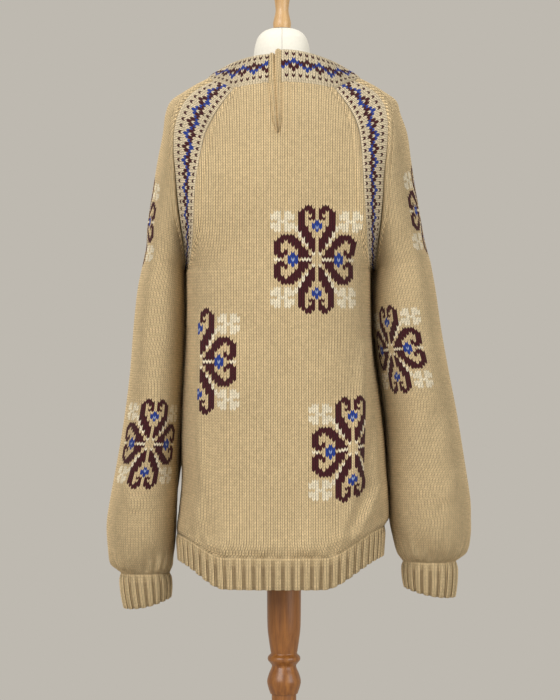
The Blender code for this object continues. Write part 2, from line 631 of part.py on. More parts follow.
def placket_grid(side, back):
    """One knitted edge of the slit, from the top of the neckband to near the slit's end."""
    left, right = back
    rows = []
    for i in list(range(SLIT_ROWS)) + [SLIT_ROWS - 1 + PLACKET_END]:
        low = min(int(i), SLIT_ROWS - 1)
        f = i - low
        outer_edges = [grid[low] + (grid[low + 1] - grid[low]) * f for grid in (left, right)]
        edge_left, edge_right = outer_edges[0][-1], outer_edges[1][0]
        middle = (edge_left + edge_right) / 2
        edge = edge_left if side < 0 else edge_right
        rows.append([edge, (edge + middle) / 2, middle][::-side])
    below = np.array(rows)
    return np.concatenate([band_grid(below[0], side)[:-1], below])


def hem_grid(top):
    """The hem rib as a coarse grid, hung from the ring of points that ends the body."""
    across = top[:, 0] / np.abs(top[:, 0]).max()
    start = np.where(across < 0, LEFT_RISE_START, RIGHT_RISE_START)
    lift = np.where(across < 0, HEM_LIFT_LEFT, HEM_LIFT_RIGHT) * ease(np.abs(across), start, 1.0)
    inward = top * np.array([1.0, 1.0, 0.0])
    inward /= -np.linalg.norm(inward, axis=1)[:, None]
    down = np.zeros_like(top)
    down[:, 2] = lift - HEM_DEPTH
    return np.array([top + (down + inward * HEM_DRAW_IN) * i / HEM_ROWS for i in range(HEM_ROWS + 1)])


def cuff_grid(side, top):
    """A cuff as a coarse grid, hung from the ring of points that ends the sleeve."""
    cuff = CUFF_LEFT if side < 0 else CUFF_RIGHT
    turn = np.linspace(math.pi, -math.pi, 2 * ROW_SAMPLES - 1)
    x = (cuff.outer + cuff.inner) / 2 + (cuff.outer - cuff.inner) / 2 * np.cos(turn)
    y = cuff.middle_y - cuff.half_depth * np.sin(turn)
    z = cuff.bottom_z + cuff.inner_up * ((1 - np.cos(turn)) / 2) ** 2
    line = np.stack([x, y, z], axis=1)
    bottom = mirrored(spread(line, 0.0, None, 2 * HALF_SLEEVE_COLUMNS), side)
    bottom = bottom if side > 0 else bottom[::-1]
    middle = bottom.mean(axis=0) * np.array([1.0, 1.0, 0.0])
    rows = []
    for i in range(CUFF_ROWS + 1):
        f = i / CUFF_ROWS
        row = top + (bottom - top) * f
        outward = (row - middle) * np.array([1.0, 1.0, 0.0])
        outward /= np.linalg.norm(outward, axis=1)[:, None]
        rows.append(row + outward * CUFF_BELLY * 4 * f * (1 - f))
    return np.array(rows)


def key_of(point):
    """A point rounded to 0.01 mm, so that the seam points of two pieces match."""
    return tuple(int(round(value * KEYS_PER_METRE)) for value in point)


def surface_directions(grids):
    """Sums of face directions at every point, shared by all the pieces that meet there."""
    sums = {}
    for grid in grids:
        across = grid[:-1, 1:] - grid[1:, :-1]
        down = grid[1:, 1:] - grid[:-1, :-1]
        direction = np.cross(down, across)
        for i in range(grid.shape[0] - 1):
            for j in range(grid.shape[1] - 1):
                for point in (grid[i, j], grid[i, j + 1], grid[i + 1, j + 1], grid[i + 1, j]):
                    key = key_of(point)
                    sums[key] = sums.get(key, 0.0) + direction[i, j]
    return sums


def directions_for(grid, sums):
    """The outward unit direction at each point of a grid."""
    result = np.array([[sums[key_of(point)] for point in row] for row in grid])
    return result / np.linalg.norm(result, axis=2, keepdims=True)


def refine_columns(grid, times):
    """Divide every column of a grid, along straight lines between its points."""
    count = grid.shape[1] - 1
    places = np.arange(count * times + 1) / times
    low = np.minimum(places.astype(int), count - 1)
    f = (places - low)[None, :, None]
    return grid[:, low] * (1 - f) + grid[:, low + 1] * f


def rib_profile(columns):
    """Heights of a two-by-two rib across a grid's columns: furrow, crown, crown, furrow."""
    return np.array([RIB_HEIGHT if j % RIB_COLUMNS in (1, 2) else 0.0 for j in range(columns)])


def edge_faces(a, b, count, from_first):
    """Two triangles across a wall's edge, cut along the same diagonal as its neighbour's edge."""
    if from_first:
        return [(b, a, b + count), (a, a + count, b + count)]
    return [(b, a, a + count), (b, a + count, b + count)]


class Wall:
    """The points and faces of one knitted piece: an outer sheet, an inner one and its edges."""

    def __init__(self):
        self.index = {}
        self.base = []
        self.direction = []
        self.height = []
        self.quads = []

    def add(self, grid, directions, heights):
        """Add a grid of points, joining it to earlier grids where their points match."""
        number = np.zeros(grid.shape[:2], int)
        for i in range(grid.shape[0]):
            for j in range(grid.shape[1]):
                key = key_of(grid[i, j])
                if key not in self.index:
                    self.index[key] = len(self.base)
                    self.base.append(grid[i, j])
                    self.direction.append(directions[i, j])
                    self.height.append(heights[j])
                number[i, j] = self.index[key]
        for i in range(grid.shape[0] - 1):
            for j in range(grid.shape[1] - 1):
                quad = (number[i, j], number[i + 1, j], number[i + 1, j + 1], number[i, j + 1])
                self.quads.append(tuple(int(n) for n in quad))

    def edges(self):
        """Directed edges that only one face uses."""
        used = set()
        for quad in self.quads:
            used.update(zip(quad, quad[1:] + quad[:1]))
        return [(a, b) for a, b in used if (b, a) not in used]

    def draw_in(self, base, edges):
        """Move the edge points inwards along the surface by half the seam gap."""
        centre_of = {}
        for quad in self.quads:
            for a, b in zip(quad, quad[1:] + quad[:1]):
                centre_of[a, b] = base[list(quad)].mean(axis=0)
        inward = {}
        for a, b in edges:
            along = (base[b] - base[a]) / np.linalg.norm(base[b] - base[a])
            way = centre_of[a, b] - base[a]
            way = way - along * way.dot(along)
            way /= np.linalg.norm(way)
            inward.setdefault(a, []).append(way)
            inward.setdefault(b, []).append(way)
        moved = base.copy()
        for point, ways in inward.items():
            overlap = max(1 + ways[0].dot(ways[-1]), 0.1)
            moved[point] += SEAM_GAP / 2 * (ways[0] + ways[-1]) / overlap
        return moved

    def build(self, name, material):
        """Make the closed solid."""
        edges = sorted(self.edges())
        base = self.draw_in(np.array(self.base), edges)
        direction = np.array(self.direction)
        outer = base + direction * np.array(self.height)[:, None]
        inner = base - direction * WALL
        count = len(base)
        faces = list(self.quads)
        faces += [tuple(n + count for n in quad[::-1]) for quad in self.quads]
        key = {number: point for point, number in self.index.items()}
        for a, b in edges:
            faces += edge_faces(a, b, count, key[a] < key[b])
        return make_object(name, np.concatenate([outer, inner]), faces, material)


def make_object(name, points, faces, material):
    """A smooth-shaded mesh object in the garment's collection."""
    mesh = bpy.data.meshes.new(name)
    mesh.from_pydata([tuple(float(value) for value in point) for point in points], [], faces)
    mesh.validate()
    mesh.shade_smooth()
    mesh.set_sharp_from_angle(angle=math.radians(SHARP_DEGREES))
    mesh.materials.append(material)
    made = bpy.data.objects.new(name, mesh)
    bpy.data.collections[COLLECTION_NAME].objects.link(made)
    return made


def make_material(name, colour, roughness):
    """A Principled material with one colour."""
    material = bpy.data.materials.new(name)
    material.use_nodes = True
    shader = material.node_tree.nodes["Principled BSDF"]
    shader.inputs["Base Color"].default_value = colour
    shader.inputs["Roughness"].default_value = roughness
    shader.inputs["Metallic"].default_value = 0.0
    return material


def make_wall(name, grids, sums, colour, ribbed=False, edging=False):
    """Build one knitted piece from its grids."""
    wall = Wall()
    for grid in grids:
        directions = directions_for(grid, sums)
        if ribbed:
            grid = refine_columns(grid, RIB_COLUMNS)
            directions = refine_columns(directions, RIB_COLUMNS)
        columns = grid.shape[1]
        heights = rib_profile(columns) if ribbed else np.zeros(columns)
        if edging:
            heights[1:-1] = EDGING_HEIGHT
        wall.add(grid, directions, heights)
    return wall.build(name, make_material(name + "_wool", colour, WOOL_ROUGHNESS))


def make_sweater():
    """Work out every panel's grid, then build the pieces."""
    grids = {}
    for side in (-1, 1):
        for face in ("back", "front"):
            grids[face, side] = body_grid(face, side)
            grids["strip " + face, side] = strip_grid(face, side)
        grids["sleeve", side] = sleeve_grid(side)
    for side in (-1, 1):
        seam = neck_seam(side, grids)
        band = band_grid(seam, side)
        grids["band", side] = band if side > 0 else band[:, ::-1]
        grids["placket", side] = placket_grid(side, (grids["back", -1], grids["back", 1]))
        grids["cuff", side] = cuff_grid(side, grids["sleeve", side][-1])
    order = (("back", -1), ("back", 1), ("front", 1), ("front", -1))
    ring = [grids[half][-1] for half in order]
    grids["hem"] = hem_grid(np.concatenate([ring[0]] + [part[1:] for part in ring[1:]]))
    sums = surface_directions(grids.values())

    for face in ("back", "front"):
        make_wall(face + "_panel", [grids[face, -1], grids[face, 1]], sums, WOOL_BEIGE)
    make_wall("neckband", [grids["band", -1], grids["band", 1]], sums, WOOL_PALE)
    make_wall("hem_rib", [grids["hem"]], sums, WOOL_BEIGE, ribbed=True)
    for side, word in ((-1, "left"), (1, "right")):
        make_wall("sleeve_" + word, [grids["sleeve", side]], sums, WOOL_BEIGE)
        make_wall("cuff_" + word, [grids["cuff", side]], sums, WOOL_BEIGE, ribbed=True)
        make_wall("placket_" + word, [grids["placket", side]], sums, WOOL_BEIGE, edging=True)
        for face in ("back", "front"):
            name = "raglan_strip_" + face + "_" + word
            make_wall(name, [grids["strip " + face, side]], sums, WOOL_PALE)


def make_form():
    """The limbless torso, lofted through its rings, with a small flat top and a flat bottom."""
    turn = np.arange(FORM_COLUMNS) / FORM_COLUMNS * 2 * math.pi
    cosine, sine = np.cos(turn), np.sin(turn)
    points, faces = [], []
    for ring in FORM_RINGS:
        reach = np.where(sine < 0, -ring.back_y, ring.front_y)
        x = FORM_X + ring.half_width * np.sign(cosine) * np.abs(cosine) ** (2 / FORM_POWER)
        y = reach * np.sign(sine) * np.abs(sine) ** (2 / FORM_POWER)
        points += [(x[j], y[j], ring.z) for j in range(FORM_COLUMNS)]
    for i in range(len(FORM_RINGS) - 1):
        for j in range(FORM_COLUMNS):
            after = (j + 1) % FORM_COLUMNS
            top, low = i * FORM_COLUMNS, (i + 1) * FORM_COLUMNS
            faces.append((top + j, low + j, low + after, top + after))
    faces.append(tuple(range(FORM_COLUMNS)))
    last = (len(FORM_RINGS) - 1) * FORM_COLUMNS
    faces.append(tuple(last + j for j in reversed(range(FORM_COLUMNS))))
    make_object("form_torso", points, faces, make_material("form_cotton", COTTON_CREAM, COTTON_ROUGHNESS))


def make_turned(name, profile, centre_x, colour, steps):
    """A turned wooden piece: a profile at +X, run down its outer side, with a Screw modifier."""
    line = [(0.0, profile[0].z)] if profile[0].radius > 0 else []
    line += [(row.radius, row.z) for row in profile] + [(0.0, profile[-1].z)]
    mesh = bpy.data.meshes.new(name)
    mesh.from_pydata([(x, 0.0, z) for x, z in line], [(i, i + 1) for i in range(len(line) - 1)], [])
    mesh.materials.append(make_material(name + "_wood", colour, WOOD_ROUGHNESS))
    made = bpy.data.objects.new(name, mesh)
    made.location.x = centre_x
    bpy.data.collections[COLLECTION_NAME].objects.link(made)
    screw = made.modifiers.new("turn", "SCREW")
    screw.steps = steps
    screw.render_steps = steps
    screw.use_merge_vertices = True
    screw.merge_threshold = MERGE_DISTANCE
    screw.use_smooth_shade = True


def make_base():
    """The round foot of the stand, a disc with an eased upper edge."""
    profile = [Turn(BASE_RADIUS - BASE_EDGE, BASE_HEIGHT)]
    for i in (1, 2, 3):
        angle = math.radians(30 * i)
        radius = BASE_RADIUS - BASE_EDGE + BASE_EDGE * math.sin(angle)
        profile.append(Turn(radius, BASE_HEIGHT - BASE_EDGE + BASE_EDGE * math.cos(angle)))
    profile.append(Turn(BASE_RADIUS, 0.0))
    make_turned("stand_base", profile, 0.0, WOOD_HONEY, BASE_STEPS)


def main():
    for old in list(bpy.data.objects):
        bpy.data.objects.remove(old, do_unlink=True)
    collection = bpy.data.collections.new(COLLECTION_NAME)
    bpy.context.scene.collection.children.link(collection)
    make_sweater()
    make_form()
    make_turned("neck_finial", FINIAL_PROFILE, FORM_X, WOOD_PALE, TURNED_STEPS)
    make_turned("pole", POLE_PROFILE, 0.0, WOOD_HONEY, TURNED_STEPS)
    make_base()


main()
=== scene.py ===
"""Looks of the hand-knitted raglan sweater on its dress form.

Units are metres, +Z is up, the back of the sweater faces -Y and so -X is the wearer's left. Every
knitted piece is a sheet of stitches laid over the same rows as its CAD solid: stitch columns run
down the piece from its centre line, and the seams cut them off. Each stitch has its own yarn
colour, with painted shade in the ribs' sunk columns, and the wool material adds the two legs of
the stitch, with painted shade in their valleys and a painted highlight on their crests, the twist
of the yarn and its fuzz.
"""
import math
from collections import namedtuple

import bmesh
import bpy
import numpy as np
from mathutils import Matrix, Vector


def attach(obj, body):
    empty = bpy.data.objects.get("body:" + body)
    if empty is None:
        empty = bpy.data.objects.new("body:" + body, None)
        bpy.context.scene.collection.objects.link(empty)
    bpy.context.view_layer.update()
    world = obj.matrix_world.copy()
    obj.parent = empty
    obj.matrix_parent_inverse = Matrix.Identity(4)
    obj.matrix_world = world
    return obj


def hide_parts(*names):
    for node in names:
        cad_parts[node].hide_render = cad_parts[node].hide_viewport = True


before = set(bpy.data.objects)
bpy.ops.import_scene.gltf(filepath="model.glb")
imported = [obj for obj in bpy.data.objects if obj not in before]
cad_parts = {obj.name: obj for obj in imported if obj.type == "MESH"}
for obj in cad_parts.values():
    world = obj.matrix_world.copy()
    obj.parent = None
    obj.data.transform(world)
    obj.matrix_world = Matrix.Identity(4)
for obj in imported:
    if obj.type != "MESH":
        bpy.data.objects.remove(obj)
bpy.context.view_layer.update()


def in_metres(kind, rows, kept=""):
    """Named rows of a table that is written in millimetres, but for the column that is kept."""
    table = []
    for row in rows:
        table.append(kind(*(cell if name == kept else cell / 1000
                            for name, cell in zip(kind._fields, row))))
    return table


# Relief and clearances. The solids' ribs are a little lower.
RIB_HEIGHT = 0.0030
SIDE_FADE = 0.030
SLEEVE_CLEARANCE = 0.0025

# Back and front panels are squarer than an ellipse in plan
BODY_POWER = 2.6

# The yoke, level by level from the neck seam (first row) down to the underarm (last row).
# inner is the seam between body and raglan strip, outer the seam between strip and sleeve,
# arch the way in which the strip bows between them; all for the wearer's right side (+X).
Seam = namedtuple("Seam", "inner_x inner_y inner_z outer_x outer_y outer_z arch_y arch_z")
BACK_SEAMS = in_metres(Seam, (
    (78.5, -78, 1375.5, 108, -50, 1391.5, -2, 2),
    (90.3, -86, 1359, 128, -58, 1380.5, -3, 2),
    (101, -92, 1342, 143, -66, 1368, -4, 2),
    (109, -99, 1324, 154.5, -78, 1347, -4, 1),
    (114.3, -108, 1304, 160, -91, 1318, -4, 0),
    (118.6, -118, 1275.4, 159.5, -97, 1284, -3, 0),
    (123.4, -127, 1240.8, 156, -96, 1245, -2, 0),
    (126.7, -130, 1206.5, 153.2, -92, 1209, -1, 0),
    (130, -126, 1175.7, 150.5, -84, 1176, 1, 1),
    (136, -102, 1142, 152, -62, 1146, 5, 3),
    (143, -55, 1113, 159, -32, 1118, 3, 4),
    (150, 0, 1100, 168, 0, 1102, 0, 4),
))
FRONT_SEAMS = in_metres(Seam, (
    (99, 38, 1366, 116, -2, 1389, 1, 2),
    (104, 52, 1350, 133, 8, 1377, 2, 2),
    (109, 64, 1333, 146, 20, 1362, 3, 2),
    (113, 76, 1315, 156, 36, 1342, 4, 1),
    (117, 88, 1295, 161, 52, 1315, 4, 0),
    (120.5, 100, 1267, 161, 66, 1282, 3, 0),
    (124, 110, 1233, 158, 76, 1244, 2, 0),
    (127, 117, 1200, 154.5, 80, 1208, 1, 0),
    (130.5, 115, 1171, 151.5, 76, 1176, -1, 1),
    (136.5, 96, 1140, 150, 62, 1144, -5, 3),
    (143, 53, 1112, 154, 36, 1116, -3, 4),
    (150, 0, 1100, 168, 0, 1102, 0, 4),
))

# How much further out (+) or in (-) the seams lie on each side, at the same levels
Shift = namedtuple("Shift", "left_inner left_outer right_inner right_outer")
SHIFTS = in_metres(Shift, (
    (0, 0, 0, 0), (0, 0, 0, 0), (0.5, 0.5, 0, 0), (2, 2, 0, -1), (5, 5, -0.5, -3),
    (7, 7.5, -2, -4.5), (8, 8, -5, -5), (8, 8, -6, -4), (6, 7, -7, -4), (3, 2.5, -9.8, -8),
    (1.5, -5.5, -13.5, -16), (0, -13, -17.5, -24.5),
))

# Centre lines of the panels at the same levels. crown is the sleeve's outermost line, turn the
# angle in degrees from the crown round to the seam, depth the sleeve's half depth in Y.
Level = namedtuple("Level", "back_y back_z front_y front_z crown_left crown_right crown_y crown_z turn depth")
LEVELS = in_metres(Level, (
    (-95, 1384, 92, 1318, 117.5, 117.5, -22, 1397, 60, 32),
    (-103, 1366, 103, 1306, 135, 135, -20, 1388, 60, 44),
    (-110, 1348, 113, 1293, 153, 153, -18, 1377, 65, 53),
    (-117, 1329, 122, 1280, 173.5, 172.5, -15, 1363, 72, 66),
    (-124, 1307, 130, 1266, 182, 179, -12, 1343, 80, 80),
    (-131, 1277.5, 139, 1244, 186, 189.5, -9, 1313, 90, 88),
    (-137, 1241.5, 146, 1218, 193.5, 195, -7, 1276, 97, 90),
    (-140, 1206.5, 149, 1190, 200, 200.7, -5, 1239, 104, 90),
    (-140, 1175.7, 149, 1166, 206, 207, -4, 1203, 115, 88),
    (-140, 1142, 148, 1138, 210.5, 213, -3, 1169, 137, 86.5),
    (-140, 1113, 147, 1112, 212, 218.5, -2, 1142, 159, 84),
    (-140, 1100, 147, 1100, 217, 226, 0, 1116, 180, 82),
), "turn")

# The body below the underarm, ring by ring down to the top of the hem rib. The rib hangs lowest
# at the middle of the back and rises towards the sides.
BodyRing = namedtuple("BodyRing", "left right back_y front_y middle_z left_z right_z")
BODY_RINGS = in_metres(BodyRing, (
    (150, 132.5, -140, 147, 1100, 1100, 1100),
    (149.5, 133, -140, 149, 1040, 1040, 1040),
    (152, 135.5, -139, 150, 980, 980, 982),
    (155.5, 145, -138, 150, 910, 912, 915),
    (157, 152.7, -137, 149, 840, 845, 851),
    (156, 157.5, -137, 148, 770, 782, 792),
    (160, 161, -139, 149, 718, 736, 748),
    (163.5, 161, -142, 150, 686, 710, 724),
    (164, 154, -134, 142, 670, 698, 710),
))
WAIST_RING = 4
LEFT_RISE_START = 0.55
RIGHT_RISE_START = 0.38

HEM_DEPTH = 0.048
HEM_LIFT_LEFT = 0.008
HEM_LIFT_RIGHT = 0.003
HEM_DRAW_IN = 0.003

# The sleeves below the underarm, ring by ring down to the top of the cuff.
SleeveRing = namedtuple(
    "SleeveRing", "outer_z inner_z right_up left_out left_in right_out right_in depth middle_y")
SLEEVE_RINGS = in_metres(SleeveRing, (
    (1116, 1102, 0, 217, 155, 226, 143.5, 82, 0),
    (1072, 1060, 0, 226, 154, 234, 141.5, 84, 0),
    (1010, 1000, 0, 232.5, 154.5, 243, 142.5, 86, 0),
    (945, 938, 0, 237.5, 157.2, 254.5, 151, 87, -2),
    (880, 874, 0, 245.5, 161.2, 267, 159, 87, -3),
    (815, 811, 0, 256, 165.5, 277.5, 161.7, 86, -4),
    (750, 748, 2, 268, 167.5, 287, 162.5, 83, -6),
    (715, 714, 5, 273, 168.5, 288, 165, 79, -8),
    (688, 688, 9, 272.5, 170, 288, 169, 73, -9),
    (665, 665, 13, 270, 172.5, 284.5, 174, 63, -10),
    (648, 648, 16, 264.5, 175, 277, 180, 50, -10),
    (637, 637, 18, 251, 178.5, 264.5, 185.5, 39, -10),
))

# Places of the underarm and of the ends of body and sleeves, in rows of the tables
UNDERARM = len(LEVELS) - 1
BODY_END = UNDERARM + len(BODY_RINGS) - 1
SLEEVE_END = UNDERARM + len(SLEEVE_RINGS) - 1

# The sleeve's inner side leans on the body in front of the sleeve's middle line. The numbers are
# shares of the sleeve's half depth in front of that line, then how far the side must face inwards.
REST_START = 0.4
REST_LEVEL = 9.0
REST_LEAVES = 4.5
REST_END = 6.5
REST_MIDDLE = 0.35
REST_NEAR = 0.60
REST_FAR = 0.95
REST_TURN = 0.4
REST_SEAM_TURN = 0.5

# The cuffs' lower edge rises by inner_up towards the body
Cuff = namedtuple("Cuff", "inner outer bottom_z inner_up half_depth middle_y")
CUFF_LEFT = Cuff(0.1775, 0.2445, 0.583, 0.016, 0.034, -0.010)
CUFF_RIGHT = Cuff(0.1885, 0.2615, 0.600, 0.015, 0.035, -0.010)
CUFF_BELLY = 0.002

# The neckband's upper edge
BAND_HALF_WIDTH = 0.098
BAND_BACK_Y = -0.075
BAND_FRONT_Y = 0.080
BAND_BACK_Z = 1.4325
BAND_SIDE_Z = 1.4120
BAND_FRONT_Z = 1.3480
BAND_STEP = 0.003
BAND_STEP_REACH = 0.050
BAND_BELLY = 0.003

# The slit at the centre back, with its two narrow knitted edges
SLIT_TOP_X = -0.0135
SLIT_END_X = -0.0090
SLIT_HALF_WIDTH = 0.0095
SLIT_LOW_HALF_WIDTH = 0.0060
SLIT_ROWS = 5
PLACKET_END = 0.8

# Folds are soft ridges (height above 0) and troughs (below 0) along a line on one face.
Fold = namedtuple("Fold", "face x0 z0 x1 z1 width height")
FOLDS = in_metres(Fold, (
    ("back", -131, 1030, -128, 730, 13, 8),
    ("back", -147, 1010, -145, 760, 10, -10),
    ("back", 125, 985, 108, 790, 12, 9),
    ("back", 140, 960, 126, 800, 11, -8),
    ("back", 148, 772, 116, 712, 11, 8),
    ("back", 128, 775, 98, 716, 10, -7),
    ("back", 104, 745, 88, 700, 10, 6),
    ("back", -140, 800, -112, 705, 12, -6),
    ("back", -100, 1200, -60, 1020, 30, -4),
    ("back", 95, 1210, 70, 1000, 30, -4),
    ("front", -128, 1030, -124, 830, 14, 7),
    ("front", -143, 1010, -141, 810, 10, -8),
    ("front", 127, 1025, 124, 850, 13, 7),
    ("front", 141, 1005, 139, 830, 10, -8),
    ("front", -60, 1170, -20, 990, 28, -5),
    ("front", 70, 1160, 35, 960, 28, -5),
    ("front", 130, 770, 95, 708, 11, -6),
    ("front", -125, 765, -100, 705, 11, -6),
    ("sleeve", -178, 1150, -196, 1000, 16, -5),
    ("sleeve", -215, 900, -190, 800, 18, -5),
    ("sleeve", -245, 780, -205, 690, 14, 5),
    ("sleeve", -222, 730, -196, 665, 11, -6),
    ("sleeve", 180, 1150, 200, 990, 16, -5),
    ("sleeve", 232, 880, 205, 790, 18, -5),
    ("sleeve", 262, 790, 220, 700, 14, 5),
    ("sleeve", 240, 745, 208, 680, 11, -6),
), "face")

# Gathers where the fabric is drawn into the ribs
HEM_GATHERS = 13
SLOW_GATHERS = 8
HEM_GATHER_HEIGHT = 0.0030
HEM_GATHER_REACH = 0.030
CUFF_GATHERS = 5
CUFF_GATHER_HEIGHT = 0.0035
CUFF_GATHER_REACH = 0.026

# Dress form, its neck finial and its stand
FORM_X = -0.003
FORM_POWER = 2.3
FormRing = namedtuple("FormRing", "z half_width back_y front_y")
FORM_RINGS = in_metres(FormRing, (
    (1478.5, 10, -10, 10), (1476.5, 20, -20, 20), (1472, 30, -29, 29), (1463, 37.8, -37, 37),
    (1450, 42, -41, 41), (1433, 44.5, -44, 44), (1408, 48, -47, 47), (1388, 62, -48, 40),
    (1378, 95, -50, 34), (1368, 128, -58, 42), (1354, 146, -68, 54), (1330, 152, -80, 70),
    (1290, 148, -94, 90), (1220, 137, -104, 110), (1140, 125, -100, 114), (1040, 119, -90, 102),
    (950, 115, -80, 88), (850, 124, -88, 94), (760, 138, -100, 100), (710, 140, -102, 100),
))

# Turned profiles: radius and height, from the top down
Turn = namedtuple("Turn", "radius z")
FINIAL_PROFILE = in_metres(Turn, (
    (0, 1560), (6, 1558.8), (10.8, 1555), (13.4, 1549), (14.2, 1542), (13.5, 1533), (12, 1523.5),
    (10.8, 1515), (10.1, 1507), (10.7, 1501), (12.2, 1494.6), (13.7, 1488), (13.9, 1484),
    (13.3, 1478.8),
))
POLE_PROFILE = in_metres(Turn, (
    (27, 709.7), (26.4, 605), (25.8, 554), (23.6, 532), (21.1, 515), (20.6, 510), (24.8, 505),
    (25, 500), (21.6, 495.5), (18.9, 490), (23.6, 478), (26.2, 467), (24, 456), (21.2, 448),
    (19.1, 441), (19, 29),
))
BASE_RADIUS = 0.190
BASE_HEIGHT = 0.0287
BASE_EDGE = 0.006
EDGE_STEPS = 8
LATHE_STEPS = 96
FORM_STEPS = 128
SPANS = 8
MERGE_DISTANCE = 1e-6
SHARP_DEGREES = 60

# The bake's square: the margin round a piece, and the height of each layer of a shell
BAKE_MARGIN = 0.01
BAKE_HALF = 0.49

# Finer puckers above the ribs, beside those of the solids
FINE_GATHERS = 37
FINE_GATHER_HEIGHT = 0.0026
FINE_GATHER_REACH = 0.018
FINE_CUFF_GATHERS = 20
FINE_SWAY = 5
GATHER_START_Z = 0.720

# The ribs and the slit's edges
HEM_RIBS = 68
HEM_STITCH_ROWS = 11
CUFF_RIBS = 20
CUFF_STITCH_ROWS = 12
PLACKET_STITCHES = 2
PLACKET_RISE = 0.0045
PLACKET_SINK = 0.0018
INNER_LAYER = 0.0026
RIB_START_ROWS = 3.0
RIB_SPREAD = 0.2
RIB_STITCHES = 4
RIB_CROWN = 0.62

# Rows of the solids' grids that the slit's table counts in, how finely lines are read, and what
# keeps only the level part of a direction
YOKE_ROWS = 13
ROW_SAMPLES = 121
PLACE_SAMPLES = 121
LEVEL = np.array([1.0, 1.0, 0.0])

# Finishes: shares of full brightness, texture scales per metre, bump heights in metres
LEG_ROUNDNESS = 0.6
ROW_ROUNDNESS = 0.7
# The stitch valleys shape the wool's bumps and are also painted shade in its colour; the crest share above 1
# is a painted highlight
ROW_VALLEY = 0.42
COLUMN_VALLEY = 0.4
FUZZ_SCALE = 900.0
HEATHER_SCALE = 260.0
PATCH_SCALE = 14.0
TWIST_DOWN = 22.0
TWIST_ACROSS = 30.0
TWIST_SHARE = 0.25
WOOL_VALLEY_PAINTED_SHADE = 0.24
WOOL_CREST_PAINTED_HIGHLIGHT = 1.16
STITCH_BUMP = 0.0015
YARN_BUMP = 0.00035
COTTON_COLOUR = (0.78, 0.74, 0.64)
COTTON_THREADS = 5200.0
COTTON_SEAM = 0.0012
SEAM_SHADE = 0.80
SEAM_BUMP = 0.0008
WEAVE_BUMP = 0.0002
SLUB_SCALE = 320.0
STAIN_SCALE = 18.0
STREAK_SCALE = 160.0
RING_SCALE = 28.0
PORE_SCALE = 900.0
STREAK_SHARE = 0.6
GRAIN_BUMP = 0.0004
HONEY_LIGHT = (0.34, 0.130, 0.022, 1.0)
HONEY_DARK = (0.15, 0.046, 0.007, 1.0)
PALE_LIGHT = (0.62, 0.40, 0.19, 1.0)
PALE_DARK = (0.42, 0.235, 0.09, 1.0)
PAPER_COLOUR = (0.560, 0.530, 0.485)
CLOUD_SCALE = 1.2

# Studio
CAMERA_PLACE = (-0.0062, -3.4, 0.98)
CAMERA_LENS = 112.8
FLOOR_REACH = 2.6
AIR_COLOUR = (1.0, 0.942, 0.843, 1.0)
AIR_STRENGTH = 0.515
Lamp = namedtuple("Lamp", "name place target size power colour")
LAMPS = (
    Lamp("key", (-1.9, -3.0, 2.6), (0.0, 0.0, 1.0), (2.4, 2.4), 118.0, (0.98, 0.99, 1.0)),
    Lamp("fill", (2.6, -2.6, 1.6), (0.0, 0.0, 0.9), (2.4, 2.4), 62.0, (0.93, 0.97, 1.0)),
    Lamp("top", (0.0, 0.4, 3.4), (0.0, 0.0, 1.0), (2.6, 2.0), 26.0, (1.0, 1.0, 1.0)),
)

# The cut of each piece: width and length in metres, and its flat area where it isn't a rectangle
PANEL_CUTS = {
    "back": ((0.480, 0.730), 0.310),
    "front": ((0.480, 0.680), 0.290),
    "sleeve": ((0.470, 0.800), 0.300),
    "strip": ((0.050, 0.340), 0.0145),
    "cuff": ((0.240, 0.055), None),
    "placket": ((0.010, 0.150), None),
    "neckband": ((0.660, 0.050), None),
    "hem": ((0.900, 0.048), None),
}

# One stitch of the fabric, and the relief of its columns
STITCH_WIDTH = 0.00515
STITCH_HEIGHT = 0.00435
POINTS_PER_STITCH = 4
SLEEVE_GAUGE = 0.86
STITCH_SLANT = 0.9
STITCH_CREST = 0.0007
LEAST_FACE = STITCH_WIDTH / 50
SEAM_DROP = 0.0012
SEAM_REACH = 0.004

# The line of decreases beside each seam: a rope-like ridge, then a furrow
FASHION_PLACE = 0.0065
FASHION_WIDTH = 0.0030
FASHION_RIDGE = 0.0018
FASHION_FURROW = 0.0016

# Yarns, in linear colour: ground, maroon, blue, cream, light centre, the ground darkened as painted
# shade where it lies deep in a rib and, less so, where the rib begins, and the pale band ground
YARNS = {
    ".": (0.700, 0.524, 0.290),
    "M": (0.060, 0.007, 0.011),
    "B": (0.018, 0.050, 0.300),
    "L": (0.920, 0.800, 0.580),
    "W": (0.300, 0.360, 0.560),
    # Painted shade: the ground darkened in a rib's sunk columns, and less where the rib begins
    "R": (0.460, 0.335, 0.180),
    "S": (0.580, 0.430, 0.235),
    "P": (0.725, 0.595, 0.400),
}

# The flower of four hearts, charted. The upper heart from the centre column to the right,
# the side heart from the centre row down, and the cluster at each corner.
HEART_UP = (
    "..MM..",
    ".MMMM.",
    ".MM.MM",
    ".M..MM",
    ".MM.MM",
    "B...MM",
    "BB..MM",
    "WB.MMM",
    "B..MMM",
    "..MMM.",
    "..MMM.",
    ".MMM..",
    ".MMM..",
    ".MM...",
    ".MM...",
    ".M....",
)
HEART_UP_TOP = 18
HEART_SIDE = (
    "LLL.BWB..LL",
    "MMMMBBB.MM.",
    ".MMM.B.MMMM",
    ".MMM...M.MM",
    "..MMM....MM",
    "...MMM...MM",
    "...MMMM.MMM",
    "....MMMMMM.",
    ".....MMMM..",
)
HEART_SIDE_START = 2
CORNER = (
    ".LL.LL.",
    "LLL.LLL",
    "LLL.LLL",
    "..LLL..",
    "LLL.LLL",
    "LLL.LLL",
    ".LL.LL.",
)
CORNER_COLUMN = 10
CORNER_ROW = 13
DIAGONAL_LENGTH = 6
DIAGONAL_START = 2
DIAGONAL_STEP = 1.5

